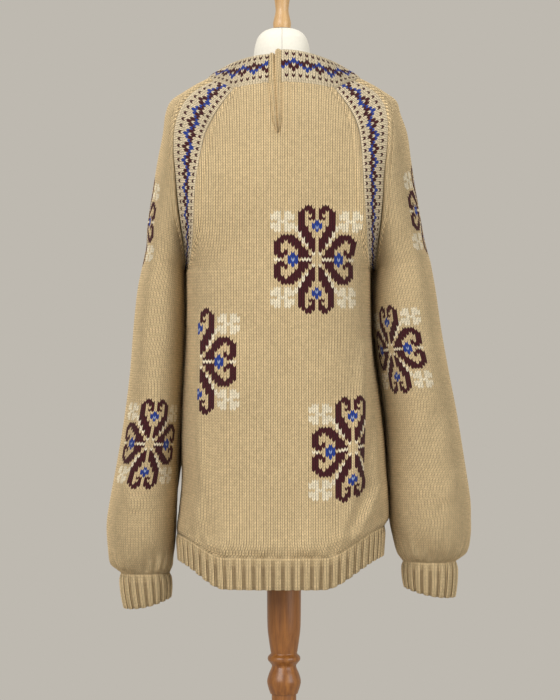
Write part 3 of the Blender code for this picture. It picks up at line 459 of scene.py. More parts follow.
# Where the flowers stand: the piece, the place of the centre in X and Z, the columns by which the
# centre lies further round to the front, and the columns either side of the centre that show.
Flower = namedtuple("Flower", "piece x z round left right")
FLOWERS = (
    Flower("back", 0.0485, 1.1160, 0, -16, 16),
    Flower("back", -0.1290, 0.9640, 0, 0, 16),
    Flower("back", 0.1055, 0.8355, 0, -16, 5),
    Flower("sleeve_left", -0.2080, 1.1780, 2, -16, 16),
    Flower("sleeve_left", -0.2040, 0.8390, 0, -16, 16),
    Flower("sleeve_right", 0.2090, 1.1970, -5, -16, 16),
    Flower("sleeve_right", 0.1625, 0.9815, 0, -16, 16),
    Flower("front", -0.0600, 1.1000, 0, -16, 16),
    Flower("front", 0.1000, 0.9500, 0, -16, 16),
    Flower("front", -0.0900, 0.8200, 0, -16, 16),
)

# The zigzag band of the neck and the raglans, from its upper edge down. EDGE_ON is how far a
# surface may turn away and still count as facing the camera.
BAND_DOT_ROWS = (1, 9)
ZIGZAG_MAROON = (7, 6, 5, 4, 3, 4, 5, 6)
ZIGZAG_BLUE = (3, 4, 5, 6, 7, 6, 5, 4)
BAND_ROWS = 12
BAND_REPEAT = 4
EDGE_ON = 0.05


def smooth(column, place):
    """Read a table column at a fractional row number, along a smooth curve through its rows."""
    column = np.asarray(column, float)
    slope = np.gradient(column)
    low = int(min(max(math.floor(place), 0), len(column) - 2))
    f = place - low
    start = (2 * f**3 - 3 * f**2 + 1) * column[low] + (f**3 - 2 * f**2 + f) * slope[low]
    end = (3 * f**2 - 2 * f**3) * column[low + 1] + (f**3 - f**2) * slope[low + 1]
    return start + end


def read_row(table, place):
    """Read a whole row of a table at a fractional row number."""
    kind = type(table[0])
    return kind(*(smooth([row[i] for row in table], place) for i in range(len(kind._fields))))


def ease(value, start, end):
    """Rise smoothly from 0 at start to 1 at end."""
    f = np.clip((value - start) / (end - start), 0.0, 1.0)
    return f * f * (3 - 2 * f)


def bell(value):
    """A bell curve: 1 at 0, and almost nothing beyond 2 on either side."""
    return np.exp(-(value ** 2))


def half_row(seam, middle_y, middle_z, rise_start=None):
    """Half a knitted row of a body panel, from the centre line out to the seam on the +X side."""
    seam_x, seam_y, seam_z = seam
    share = (1 - (seam_y / middle_y) ** BODY_POWER) ** (1 / BODY_POWER)
    side_x = seam_x / share
    last = math.asin(min(1.0, share ** (BODY_POWER / 2)))
    turn = np.linspace(0.0, last, ROW_SAMPLES)
    x = side_x * np.sin(turn) ** (2 / BODY_POWER)
    y = middle_y * np.cos(turn) ** (2 / BODY_POWER)
    across = x / seam_x
    rise = across**2 if rise_start is None else ease(across, rise_start, 1.0)
    return np.stack([x, y, middle_z + (seam_z - middle_z) * rise], axis=1)


def mirrored(line, side):
    """The same line on the other side of the centre plane when side is -1."""
    return line * np.array([side, 1.0, 1.0])


def seam_at(face, side, level):
    """The seams of a raglan strip at a level, as they lie on one side."""
    seam = read_row(BACK_SEAMS if face == "back" else FRONT_SEAMS, level)
    shift = read_row(SHIFTS, level)
    inner = shift.left_inner if side < 0 else shift.right_inner
    outer = shift.left_outer if side < 0 else shift.right_outer
    return seam._replace(inner_x=seam.inner_x + inner, outer_x=seam.outer_x + outer)


def yoke_half(face, side, level):
    """Half a row of the back or front panel above the underarm."""
    row = read_row(LEVELS, level)
    seam = seam_at(face, side, level)
    middle_y = row.back_y if face == "back" else row.front_y
    middle_z = row.back_z if face == "back" else row.front_z
    inner_y = min(seam.inner_y, 0.0) if face == "back" else max(seam.inner_y, 0.0)
    line = half_row((seam.inner_x, inner_y, seam.inner_z), middle_y, middle_z)
    return mirrored(line, side)


def body_half(face, side, place):
    """Half a ring of the body below the underarm."""
    ring = read_row(BODY_RINGS, place)
    middle_y = ring.back_y if face == "back" else ring.front_y
    side_x = ring.left if side < 0 else ring.right
    side_z = ring.left_z if side < 0 else ring.right_z
    start = LEFT_RISE_START if side < 0 else RIGHT_RISE_START
    return mirrored(half_row((side_x, 0.0, side_z), middle_y, ring.middle_z, start), side)


def body_reach(side, y, z):
    """How far the body reaches sideways at a height, at a given depth."""
    heights = [ring.middle_z for ring in BODY_RINGS][::-1]
    widths = [ring.left if side < 0 else ring.right for ring in BODY_RINGS][::-1]
    half_width = np.interp(z, heights, widths)
    depth = abs(BODY_RINGS[WAIST_RING].back_y) if y < 0 else BODY_RINGS[WAIST_RING].front_y
    share = min(1.0, abs(y) / depth)
    return half_width * (1 - share**BODY_POWER) ** (1 / BODY_POWER)


def leaning(side, place, line):
    """How far the sleeve's side leans on the body at each point, and the body's reach there.

    The place is the share of the sleeve's half depth in front of its middle line."""
    clear = np.array([body_reach(side, *point) for point in line[:, 1:]]) + SLEEVE_CLEARANCE
    return ease(place, 0.0, REST_MIDDLE) * (1 - ease(place, REST_NEAR, REST_FAR)), clear


def lengths(line):
    """Distance along a line of points, from its first point."""
    steps = np.linalg.norm(np.diff(line, axis=0), axis=1)
    return np.concatenate([[0.0], np.cumsum(steps)])


def along(line, length, places):
    """Points of a line at distances from its first point."""
    return np.stack([np.interp(places, length, line[:, axis]) for axis in range(3)], axis=-1)


def fold_heights(line, face):
    """How far the folds on a face lift or sink each point of a line."""
    height = np.zeros(len(line))
    for fold in FOLDS:
        if fold.face != face:
            continue
        way = np.array([fold.x1 - fold.x0, fold.z1 - fold.z0])
        share = ((line[:, 0] - fold.x0) * way[0] + (line[:, 2] - fold.z0) * way[1]) / way.dot(way)
        near = np.clip(share, 0.0, 1.0)
        gap = np.hypot(line[:, 0] - fold.x0 - way[0] * near, line[:, 2] - fold.z0 - way[1] * near)
        height += fold.height * bell(gap / fold.width)
    return height


def whole_row(face, place):
    """Both halves of a row of the back or front panel, from left to right."""
    half, at = (yoke_half, place) if place <= UNDERARM else (body_half, place - UNDERARM)
    return np.concatenate([half(face, -1, at)[::-1], half(face, 1, at)[1:]])


def hem_height(face, x):
    """Height of the top of the hem rib at places across the body."""
    line = whole_row(face, BODY_END)
    return np.interp(x, line[:, 0], line[:, 2])


def body_line(face, place):
    """A knitted row of the back or front panel from left to right.

    The place runs over the rows of LEVELS and then over those of BODY_RINGS."""
    line = whole_row(face, place)
    length = lengths(line)
    outward = -1.0 if face == "back" else 1.0
    fade = ease(np.minimum(length, length[-1] - length), 0.0, SIDE_FADE)
    line[:, 1] += outward * fade * fold_heights(line, face)
    if place > UNDERARM:
        above = line[:, 2] - hem_height(face, line[:, 0])
        around = np.arctan2(line[:, 1], line[:, 0])
        sway = np.sin(HEM_GATHERS * around) + 0.5 * np.sin(SLOW_GATHERS * around)
        fine = np.sin(FINE_GATHERS * around + np.sin(FINE_SWAY * around))
        reach = bell(above / HEM_GATHER_REACH) * ease(above, 0.0, HEM_GATHER_REACH / 2)
        near = bell(above / FINE_GATHER_REACH) * ease(above, 0.0, FINE_GATHER_REACH / 3)
        sides = ease(np.abs(line[:, 1]), SIDE_FADE, 3 * SIDE_FADE)
        lift = HEM_GATHER_HEIGHT * reach * sway + FINE_GATHER_HEIGHT * near * fine
        line[:, 1] += outward * lift * sides
    return line


def cap_line(side, level):
    """A row over the sleeve above the underarm, from the back seam over the crown to the front."""
    row = read_row(LEVELS, level)
    crown_x = row.crown_left if side < 0 else row.crown_right
    quarters = []
    for face, outward in (("back", -1.0), ("front", 1.0)):
        seam = seam_at(face, side, level)
        last = math.radians(min(row.turn, 180.0))
        half_width = (crown_x - seam.outer_x) / (1 - math.cos(last))
        turn = np.linspace(0.0, last, ROW_SAMPLES)
        weight = (turn / last) ** 2
        miss = seam.outer_y - (row.crown_y + outward * row.depth * math.sin(last))
        x = crown_x - half_width * (1 - np.cos(turn))
        y = row.crown_y + outward * row.depth * np.sin(turn) + miss * weight
        z = row.crown_z + (seam.outer_z - row.crown_z) * weight
        line = np.stack([x, y, z], axis=1)
        lean, clear = leaning(side, (y - row.crown_y) / row.depth, line)
        lean = lean * ease(level, REST_LEVEL, UNDERARM) * ease(last - turn, 0.0, REST_SEAM_TURN)
        line[:, 0] += (np.minimum(clear, x) - x) * lean * ease(-np.cos(turn), 0.0, REST_TURN)
        quarters.append(line)
    return np.concatenate([quarters[0][::-1], quarters[1][1:]])


def ring_line(side, place):
    """A closed ring of the sleeve below the underarm, from its inner line round by the back."""
    ring = read_row(SLEEVE_RINGS, place)
    outer = ring.left_out if side < 0 else ring.right_out
    inner = ring.left_in if side < 0 else ring.right_in
    turn = np.linspace(math.pi, -math.pi, 2 * ROW_SAMPLES - 1)
    x = (outer + inner) / 2 + (outer - inner) / 2 * np.cos(turn)
    y = ring.middle_y - ring.depth * np.sin(turn)
    z = ring.outer_z + (ring.inner_z - ring.outer_z) * (turn / math.pi) ** 2
    z = z + (ring.right_up if side > 0 else 0.0)
    line = np.stack([x, y, z], axis=1)
    lean, clear = leaning(side, (y - ring.middle_y) / ring.depth, line)
    lean = lean * (1 - ease(place, REST_LEAVES, REST_END)) * ease(-np.cos(turn), 0.0, REST_TURN)
    x = x + (np.minimum(clear, x) - x) * lean
    pushed = inner + (clear - inner) * ease(place, 0.0, REST_START)
    line[:, 0] = np.where(clear > inner, np.maximum(x, pushed), x)
    return line


def sleeve_line(side, place):
    """A row of a sleeve on its own side. The place runs over LEVELS and then SLEEVE_RINGS."""
    line = cap_line(side, place) if place <= UNDERARM else ring_line(side, place - UNDERARM)
    length = lengths(line)
    from_seam = np.minimum(length, length[-1] - length)
    crown_y = line[ROW_SAMPLES - 1, 1]
    outward = np.clip((line[:, 1] - crown_y) / SIDE_FADE, -1.0, 1.0)
    fade = ease(from_seam, SIDE_FADE / 2, 2 * SIDE_FADE)
    line[:, 1] += outward * fade * fold_heights(mirrored(line, side), "sleeve")
    if place > UNDERARM:
        end = SLEEVE_RINGS[-1]
        bottom = end.outer_z + (end.right_up if side > 0 else 0.0)
        middle = (end.left_out + end.left_in if side < 0 else end.right_out + end.right_in) / 2
        around = np.arctan2(line[:, 1] - end.middle_y, line[:, 0] - middle)
        above = line[:, 2] - bottom
        reach = bell(above / CUFF_GATHER_REACH) * ease(above, 0.0, CUFF_GATHER_REACH / 2)
        sway = CUFF_GATHER_HEIGHT * reach * np.sin(CUFF_GATHERS * around)
        fine = FINE_GATHER_HEIGHT * reach * np.sin(FINE_CUFF_GATHERS * around)
        line[:, 0] += np.cos(around) * (sway * ease(np.cos(around), 0.0, 0.5) + fine)
        line[:, 1] += np.sin(around) * (sway + fine)
    return mirrored(line, side)


def stitch_rows(line_at, last_place, middle, gauge=1.0):
    """Places of the row boundaries, one stitch height apart along the centre line, and their lines."""
    places = np.linspace(0.0, last_place, PLACE_SAMPLES)
    centres = np.array([middle_point(line_at(place), middle) for place in places])
    length = lengths(centres)
    count = int(round(length[-1] / STITCH_HEIGHT / gauge))
    wanted = np.interp(np.linspace(0.0, length[-1], count + 1), length, places)
    return wanted, [line_at(place) for place in wanted]


def middle_point(line, middle):
    """The point of a line on the centre line of its piece, where x is 0 or at its middle sample."""
    if middle == "axis":
        return along(line, line[:, 0], 0.0)
    return line[len(line) // 2]


class Fabric:
    """A grid of stitches: points and outward directions at the stitches' corners and middles.

    columns and rows count stitches. yarn holds one letter of YARNS for each stitch."""

    def __init__(self, points, normals, heights, keep, first_column=0, ground="."):
        outwards = np.sum(normals * (points - points.mean(axis=1, keepdims=True))) > 0
        self.points = points
        self.normals = normals if outwards else -normals
        self.reverse = outwards
        self.heights = heights
        self.keep = keep
        self.first_column = first_column
        columns = (points.shape[1] - 1) // POINTS_PER_STITCH
        self.yarn = np.full((points.shape[0] - 1, columns), ground)

    def paint(self, row, column, yarn):
        """Knit one stitch in a yarn, if it is on the piece."""
        at = column - self.first_column
        if 0 <= row < self.yarn.shape[0] and 0 <= at < self.yarn.shape[1]:
            self.yarn[row, at] = yarn

    def nearest(self, x, z, faces_back):
        """The row and column of the stitch nearest to a place seen from the front or the back."""
        grid = self.points[:-1, :-1]
        gap = np.hypot(grid[..., 0] - x, grid[..., 2] - z)
        facing = (self.normals[:-1, :-1, 1] < EDGE_ON) == faces_back
        gap = np.where(self.keep & facing, gap, np.inf)
        row, point = np.unravel_index(np.argmin(gap), gap.shape)
        return int(row), int(point) // POINTS_PER_STITCH + self.first_column


def unit(vectors):
    """Vectors of length 1, along the last axis."""
    size = np.linalg.norm(vectors, axis=-1, keepdims=True)
    return vectors / np.maximum(size, 1e-12)


def relief(columns):
    """Height of the stitch columns at each point across: two crests, and furrows between them."""
    place = np.arange(columns * POINTS_PER_STITCH + 1) % POINTS_PER_STITCH
    return np.where(place % 2 == 1, STITCH_CREST, 0.0)


def slant(columns):
    """How far the row's edge sinks, in stitches, at each point across: lowest at a stitch's middle."""
    place = np.arange(columns * POINTS_PER_STITCH + 1) % POINTS_PER_STITCH
    return STITCH_SLANT * (0.5 - np.abs(place - POINTS_PER_STITCH / 2) / (POINTS_PER_STITCH / 2))


def slanted(grid, columns):
    """Bend the grid's rows into the zigzag of the stitches, keeping its first and last row."""
    down = np.zeros_like(grid)
    down[1:-1] = (grid[2:] - grid[:-2]) / 2
    return grid + down * slant(columns)[None, :, None]


def panel_fabric(lines, middle, cut_at=None, width_at=None):
    """Stitches over rows whose columns run down from the centre line; the seams cut them off."""
    data = []
    for line in lines:
        length = lengths(line)
        zero = np.interp(0.0, line[:, 0], length) if middle == "axis" else length[len(line) // 2]
        data.append((line, length, zero))
    width = np.full(len(lines), STITCH_WIDTH) if width_at is None else width_at(data)
    last = math.ceil(max((length[-1] - zero) / wide for (line, length, zero), wide in zip(data, width)))
    first = -math.ceil(max(zero / wide for (line, length, zero), wide in zip(data, width)))
    columns = last - first
    across = first + np.arange(columns * POINTS_PER_STITCH + 1) / POINTS_PER_STITCH
    points = np.zeros((len(lines), len(across), 3))
    tangents = np.zeros_like(points)
    from_seam = np.zeros(points.shape[:2])
    inside = np.zeros(points.shape[:2], bool)
    for number, (line, length, zero) in enumerate(data):
        place = zero + across * width[number]
        held = np.clip(place, 0.0, length[-1])
        inside[number] = place == held
        gap = np.minimum(held, length[-1] - held)
        if cut_at is not None and cut_at(number) is not None:
            centre, half = cut_at(number)
            middle_at = np.interp(centre, line[:, 0], length)
            left = held < middle_at
            edge = np.where(left, middle_at - half, middle_at + half)
            gap = np.minimum(gap, np.abs(held - middle_at) - half)
            within = np.abs(held - middle_at) < half
            held = np.where(within, edge, held)
            inside[number] &= ~within
        tangent = unit(np.gradient(line, axis=0))
        points[number] = along(line, length, held)
        tangents[number] = along(tangent, length, held)
        from_seam[number] = np.maximum(gap, 0.0)
    down = np.gradient(points, axis=0)
    normals = unit(np.cross(unit(tangents), unit(down)))
    some = inside[:-1, :-1] | inside[:-1, 1:] | inside[1:, :-1] | inside[1:, 1:]
    some &= np.linalg.norm(points[:-1, 1:] - points[1:, :-1], axis=2) > LEAST_FACE
    points = slanted(points, columns)
    fade = ease(from_seam, 0.0, SEAM_REACH)
    heights = relief(columns)[None, :] * fade - SEAM_DROP * (1 - fade)
    furrow = FASHION_PLACE + 2 * FASHION_WIDTH
    heights = heights + FASHION_RIDGE * bell((from_seam - FASHION_PLACE) / FASHION_WIDTH)
    heights = heights - FASHION_FURROW * bell((from_seam - furrow) / (FASHION_WIDTH / 2))
    return Fabric(points, normals, heights, some, first)


def gathered_widths(data):
    """Stitch widths of the sleeve's rows: even, but drawn together where the sleeve narrows fast."""
    whole = np.array([length[-1] for line, length, zero in data])
    heights = np.array([line[len(line) // 2, 2] for line, length, zero in data])
    start = np.argmin(np.abs(heights - GATHER_START_Z))
    width = np.full(len(data), STITCH_WIDTH * SLEEVE_GAUGE)
    width[start:] *= whole[start:] / whole[start]
    return width


def slit_at(place):
    """The slit's centre line and half width at a place down the back, or None below it."""
    row = place / UNDERARM * YOKE_ROWS
    if row >= SLIT_ROWS:
        return None
    centre = np.interp(row, [0, SLIT_ROWS], [SLIT_TOP_X, SLIT_END_X])
    half = np.interp(row, [0, SLIT_ROWS - 1, SLIT_ROWS], [SLIT_HALF_WIDTH, SLIT_LOW_HALF_WIDTH, 0.0])
    return centre, half


def grid_normals(points, closed=False):
    """Directions square to a regular grid of points."""
    if closed:
        around = np.concatenate([points[:, -2:-1], points, points[:, 1:2]], axis=1)
        across = np.gradient(around, axis=1)[:, 1:-1]
    else:
        across = np.gradient(points, axis=1)
    return unit(np.cross(unit(across), unit(np.gradient(points, axis=0))))


def resampled(line, count):
    """Points at even distances along a line."""
    length = lengths(line)
    return along(line, length, np.linspace(0.0, length[-1], count + 1))


def slit_row(side, place):
    """A row of the back, its lengths, and where the slit's edge and middle lie along it."""
    back = body_line("back", place)
    length = lengths(back)
    centre, half = slit_at(place)
    middle = np.interp(centre, back[:, 0], length)
    return back, length, middle + side * half, middle


def band_line(side):
    """The neck seam on one side, from the slit round over the shoulder to the centre front."""
    back, length, edge, _ = slit_row(side, 0.0)
    end = 0.0 if side < 0 else length[-1]
    parts = [
        along(back, length, np.linspace(edge, end, ROW_SAMPLES)),
        strip_line("back", side, 0.0),
        mirrored(cap_line(side, 0.0), side),
        strip_line("front", side, 0.0)[::-1],
        yoke_half("front", side, 0.0)[::-1],
    ]
    return np.concatenate([parts[0]] + [part[1:] for part in parts[1:]])


def strip_line(face, side, level):
    """A line across a raglan strip, from the body seam to the sleeve seam."""
    seam = seam_at(face, side, level)
    start = np.array([seam.inner_x, seam.inner_y, seam.inner_z])
    end = np.array([seam.outer_x, seam.outer_y, seam.outer_z])
    f = np.linspace(0.0, 1.0, BAND_ROWS + 1)[:, None]
    arch = np.array([0.0, seam.arch_y, seam.arch_z])
    return mirrored(start + (end - start) * f + arch * 4 * f * (1 - f), side)


def band_top(points, step_side):
    """Points of the neckband's upper edge that stand above points of the neck seam."""
    around = np.arctan2(points[:, 1], points[:, 0])
    back = points[:, 1] < 0
    y_reach = np.where(back, -BAND_BACK_Y, BAND_FRONT_Y)
    middle_z = np.where(back, BAND_BACK_Z, BAND_FRONT_Z)
    x = BAND_HALF_WIDTH * np.cos(around)
    z = BAND_SIDE_Z + (middle_z - BAND_SIDE_Z) * np.sin(around) ** 2
    step = BAND_STEP * bell(x / BAND_STEP_REACH) * step_side
    return np.stack([x, y_reach * np.sin(around), z + np.where(back, step, 0.0)], axis=1)


def bulged(top, bottom, rows, middle, belly):
    """Rows from an upper to a lower edge that swell out from a middle line between them."""
    made = []
    for f in np.linspace(0.0, 1.0, rows + 1):
        row = top + (bottom - top) * f
        made.append(row + unit((row - middle) * LEVEL) * belly * 4 * f * (1 - f))
    return np.array(made)


def edge_heights(rows, columns):
    """Relief of a band of stitches that sinks into the seam below it."""
    heights = np.tile(relief(columns), (rows + 1, 1))
    heights[-1] = -SEAM_DROP / 2
    return heights


def whole_fabric(points, heights, ground, closed=False):
    """Stitches over a grid that is used from edge to edge."""
    columns = (points.shape[1] - 1) // POINTS_PER_STITCH
    normals = grid_normals(points, closed)
    keep = np.ones((points.shape[0] - 1, points.shape[1] - 1), bool)
    return Fabric(slanted(points, columns), normals, heights, keep, ground=ground)


def neckband_fabric():
    """The neckband, from the slit's left edge by the front to its right edge."""
    halves = []
    for side in (-1, 1):
        line = band_line(side)
        stitches = int(round(lengths(line)[-1] / STITCH_WIDTH / BAND_REPEAT)) * BAND_REPEAT
        seam = resampled(line, stitches * POINTS_PER_STITCH)
        grid = bulged(band_top(seam, side), seam, BAND_ROWS, 0.0, BAND_BELLY)
        halves.append(grid if side < 0 else grid[:, ::-1])
    points = np.concatenate([halves[0], halves[1][:, 1:]], axis=1)
    columns = (points.shape[1] - 1) // POINTS_PER_STITCH
    return paint_band(whole_fabric(points, edge_heights(BAND_ROWS, columns), "P"))


def strip_fabric(face, side):
    """A raglan strip. Its rows run along the seams, so its stitches lie on their sides."""
    places = np.linspace(0.0, UNDERARM, PLACE_SAMPLES)
    middle = lengths(np.array([strip_line(face, side, place)[BAND_ROWS // 2] for place in places]))
    stitches = int(round(middle[-1] / STITCH_WIDTH))
    wanted = np.interp(np.linspace(0.0, middle[-1], stitches * POINTS_PER_STITCH + 1), middle, places)
    points = np.array([strip_line(face, side, place) for place in wanted]).transpose(1, 0, 2)
    heights = edge_heights(BAND_ROWS, stitches)
    heights[0] = -SEAM_DROP / 2
    heights[:, 0] = heights[:, -1] = -SEAM_DROP / 2
    return paint_band(whole_fabric(points, heights, "P"))


def paint_band(fabric):
    """Knit the dots and the two zigzags into a band."""
    for column in range(fabric.yarn.shape[1]):
        for row in BAND_DOT_ROWS:
            if column % 2 == 0:
                fabric.paint(row, column, "M")
        for table, yarn in ((ZIGZAG_BLUE, "B"), (ZIGZAG_MAROON, "M")):
            row = table[column % len(table)]
            fabric.paint(row, column, yarn)
            fabric.paint(row + (1 if row <= BAND_ROWS // 2 - 2 else -1), column, yarn)
        fabric.paint(ZIGZAG_BLUE[column % len(ZIGZAG_BLUE)], column, "B")
    return fabric


def ribbed(points, ribs):
    """A two-by-two rib: a raised pair of stitch columns, then a sunk pair knitted in painted shade."""
    at = np.arange(ribs * RIB_STITCHES * POINTS_PER_STITCH + 1) / POINTS_PER_STITCH
    raised = np.clip(RIB_CROWN + np.cos((at - 1.0) * math.pi / 2), 0.0, 1.0)
    grown = ease(np.arange(len(points), dtype=float), -RIB_START_ROWS / 2, RIB_START_ROWS)
    heights = grown[:, None] * raised * (RIB_HEIGHT + relief(ribs * RIB_STITCHES))
    fabric = whole_fabric(points, heights, ".", closed=True)
    # The sunk pair gets painted shade: a lighter one in the rows where the rib begins, then a deeper one
    for column in range(ribs * RIB_STITCHES):
        if column % RIB_STITCHES > 1:
            for row in range(1, len(points)):
                fabric.paint(row, column, "S" if row < RIB_START_ROWS else "R")
    return fabric


def rib_sampled(halves, ribs_each):
    """Points along the parts of a ring, four stitches to a rib, starting half a stitch along.

    The raised stitches are spread and the sunk ones drawn together."""
    count = ribs_each * RIB_STITCHES * POINTS_PER_STITCH
    ring = np.concatenate([resampled(half, count)[:-1] for half in halves])
    at = np.arange(len(ring) + 1) / POINTS_PER_STITCH
    wanted = (at + 0.5 + RIB_SPREAD * np.sin((at - 1) * math.pi / 2)) * POINTS_PER_STITCH
    places = np.arange(len(ring))
    return np.stack([np.interp(wanted, places, ring[:, k], period=len(ring)) for k in range(3)], axis=1)


def hem_fabric():
    """The hem rib, hung from the ring that ends the body."""
    quarters = []
    for face, ways in (("back", 1), ("front", -1)):
        line = body_line(face, BODY_END)[::ways]
        middle = int(np.argmin(np.abs(line[:, 0])))
        quarters += [line[:middle + 1], line[middle:]]
    top = rib_sampled(quarters, HEM_RIBS // 4)
    across = top[:, 0] / np.abs(top[:, 0]).max()
    start = np.where(across < 0, LEFT_RISE_START, RIGHT_RISE_START)
    lift = np.where(across < 0, HEM_LIFT_LEFT, HEM_LIFT_RIGHT) * ease(np.abs(across), start, 1.0)
    inward = -unit(top * LEVEL)
    down = np.zeros_like(top)
    down[:, 2] = lift - HEM_DEPTH
    places = np.linspace(0.0, 1.0, HEM_STITCH_ROWS + 1)
    points = np.array([top + (down + inward * HEM_DRAW_IN) * f for f in places])
    return ribbed(points, HEM_RIBS)


def cuff_fabric(side):
    """A cuff, hung from the ring that ends the sleeve."""
    cuff = CUFF_LEFT if side < 0 else CUFF_RIGHT
    ring = mirrored(sleeve_line(side, SLEEVE_END), side)
    half = len(ring) // 2
    top = rib_sampled([ring[:half + 1], ring[half:]], CUFF_RIBS // 2)
    turn = np.linspace(math.pi, -math.pi, 2 * ROW_SAMPLES - 1)
    x = (cuff.outer + cuff.inner) / 2 + (cuff.outer - cuff.inner) / 2 * np.cos(turn)
    y = cuff.middle_y - cuff.half_depth * np.sin(turn)
    z = cuff.bottom_z + cuff.inner_up * ((1 - np.cos(turn)) / 2) ** 2
    line = np.stack([x, y, z], axis=1)
    bottom = rib_sampled([line[:half + 1], line[half:]], CUFF_RIBS // 2)
    middle = bottom.mean(axis=0) * LEVEL
    return ribbed(mirrored(bulged(top, bottom, CUFF_STITCH_ROWS, middle, CUFF_BELLY), side), CUFF_RIBS)


def placket_fabric(side):
    """A knitted edge of the slit, from the top of the neckband to near the slit's end."""
    lines = []
    last = (SLIT_ROWS - 1 + PLACKET_END) / YOKE_ROWS * UNDERARM
    for place in np.linspace(0.0, last, ROW_SAMPLES):
        back, length, edge, middle = slit_row(side, place)
        at = np.linspace(edge, middle, PLACKET_STITCHES * POINTS_PER_STITCH + 1)
        lines.append(along(back, length, at))
    below = np.array(lines)
    above = bulged(band_top(below[0], side), below[0], BAND_ROWS, 0.0, BAND_BELLY)[:-1]
    column = np.concatenate([above, below])
    length = lengths(column[:, 0])
    rows = int(round(length[-1] / STITCH_HEIGHT))
    wanted = np.linspace(0.0, length[-1], rows + 1)
    points = np.stack([along(column[:, j], length, wanted) for j in range(column.shape[1])], axis=1)
    across = np.linspace(0.0, math.pi, column.shape[1])
    rise = relief(PLACKET_STITCHES) + PLACKET_RISE * np.sin(across) - PLACKET_SINK
    heights = np.tile(rise, (rows + 1, 1))
    return whole_fabric(points, heights, ".")


def flower_stitches():
    """The flower as a dict of (row, column) from its centre to a yarn."""
    chart = {}
    for step in range(1, DIAGONAL_LENGTH + 1):
        row = int(round(DIAGONAL_START + (step - 1) * DIAGONAL_STEP))
        for extra in (0, 1):
            chart[row + extra, step] = "L"
    reach = len(CORNER) // 2
    for i, letters in enumerate(CORNER):
        for j, yarn in enumerate(letters):
            chart[CORNER_ROW + i - reach, CORNER_COLUMN + j - reach] = yarn
    for heart, first_row, way, first_column in (
            (HEART_SIDE, 0, 1, HEART_SIDE_START), (HEART_UP, HEART_UP_TOP, -1, 0)):
        for i, letters in enumerate(heart):
            for j, yarn in enumerate(letters):
                if yarn != ".":
                    chart[first_row + way * i, first_column + j] = yarn
    whole = {}
    for (row, column), yarn in chart.items():
        for up in (-1, 1):
            for side in (-1, 1):
                whole[row * up, column * side] = yarn
    return {place: yarn for place, yarn in whole.items() if yarn != "."}


def knit_flowers(fabric, piece, chart):
    """Knit every flower that belongs to a piece."""
    for flower in FLOWERS:
        if flower.piece != piece:
            continue
        row, column = fabric.nearest(flower.x, flower.z, piece != "front")
        for (up, across), yarn in chart.items():
            if flower.left <= across <= flower.right:
                fabric.paint(row + up, column + flower.round + across, yarn)


def boundary(quads):
    """Directed edges that only one face uses."""
    edges = np.concatenate([quads[:, [k, (k + 1) % 4]] for k in range(4)])
    low, high = edges.min(axis=1), edges.max(axis=1)
    code = low.astype(np.int64) * (quads.max() + 1) + high
    _, first, counts = np.unique(code, return_index=True, return_counts=True)
    return edges[first[counts == 1]]


def placed(name, data):
    """A new object in the scene."""
    made = bpy.data.objects.new(name, data)
    bpy.context.scene.collection.objects.link(made)
    return made


def make_mesh(name, points, quads, material):
    """A smooth-shaded mesh object of four-sided faces."""
    mesh = bpy.data.meshes.new(name)
    mesh.vertices.add(len(points))
    mesh.vertices.foreach_set("co", np.asarray(points, np.float32).ravel())
    mesh.loops.add(len(quads) * 4)
    mesh.loops.foreach_set("vertex_index", np.asarray(quads, np.int32).ravel())
    mesh.polygons.add(len(quads))
    mesh.polygons.foreach_set("loop_start", np.arange(0, len(quads) * 4, 4, dtype=np.int32))
    mesh.update(calc_edges=True)
    mesh.shade_smooth()
    mesh.materials.append(material)
    return placed(name, mesh)


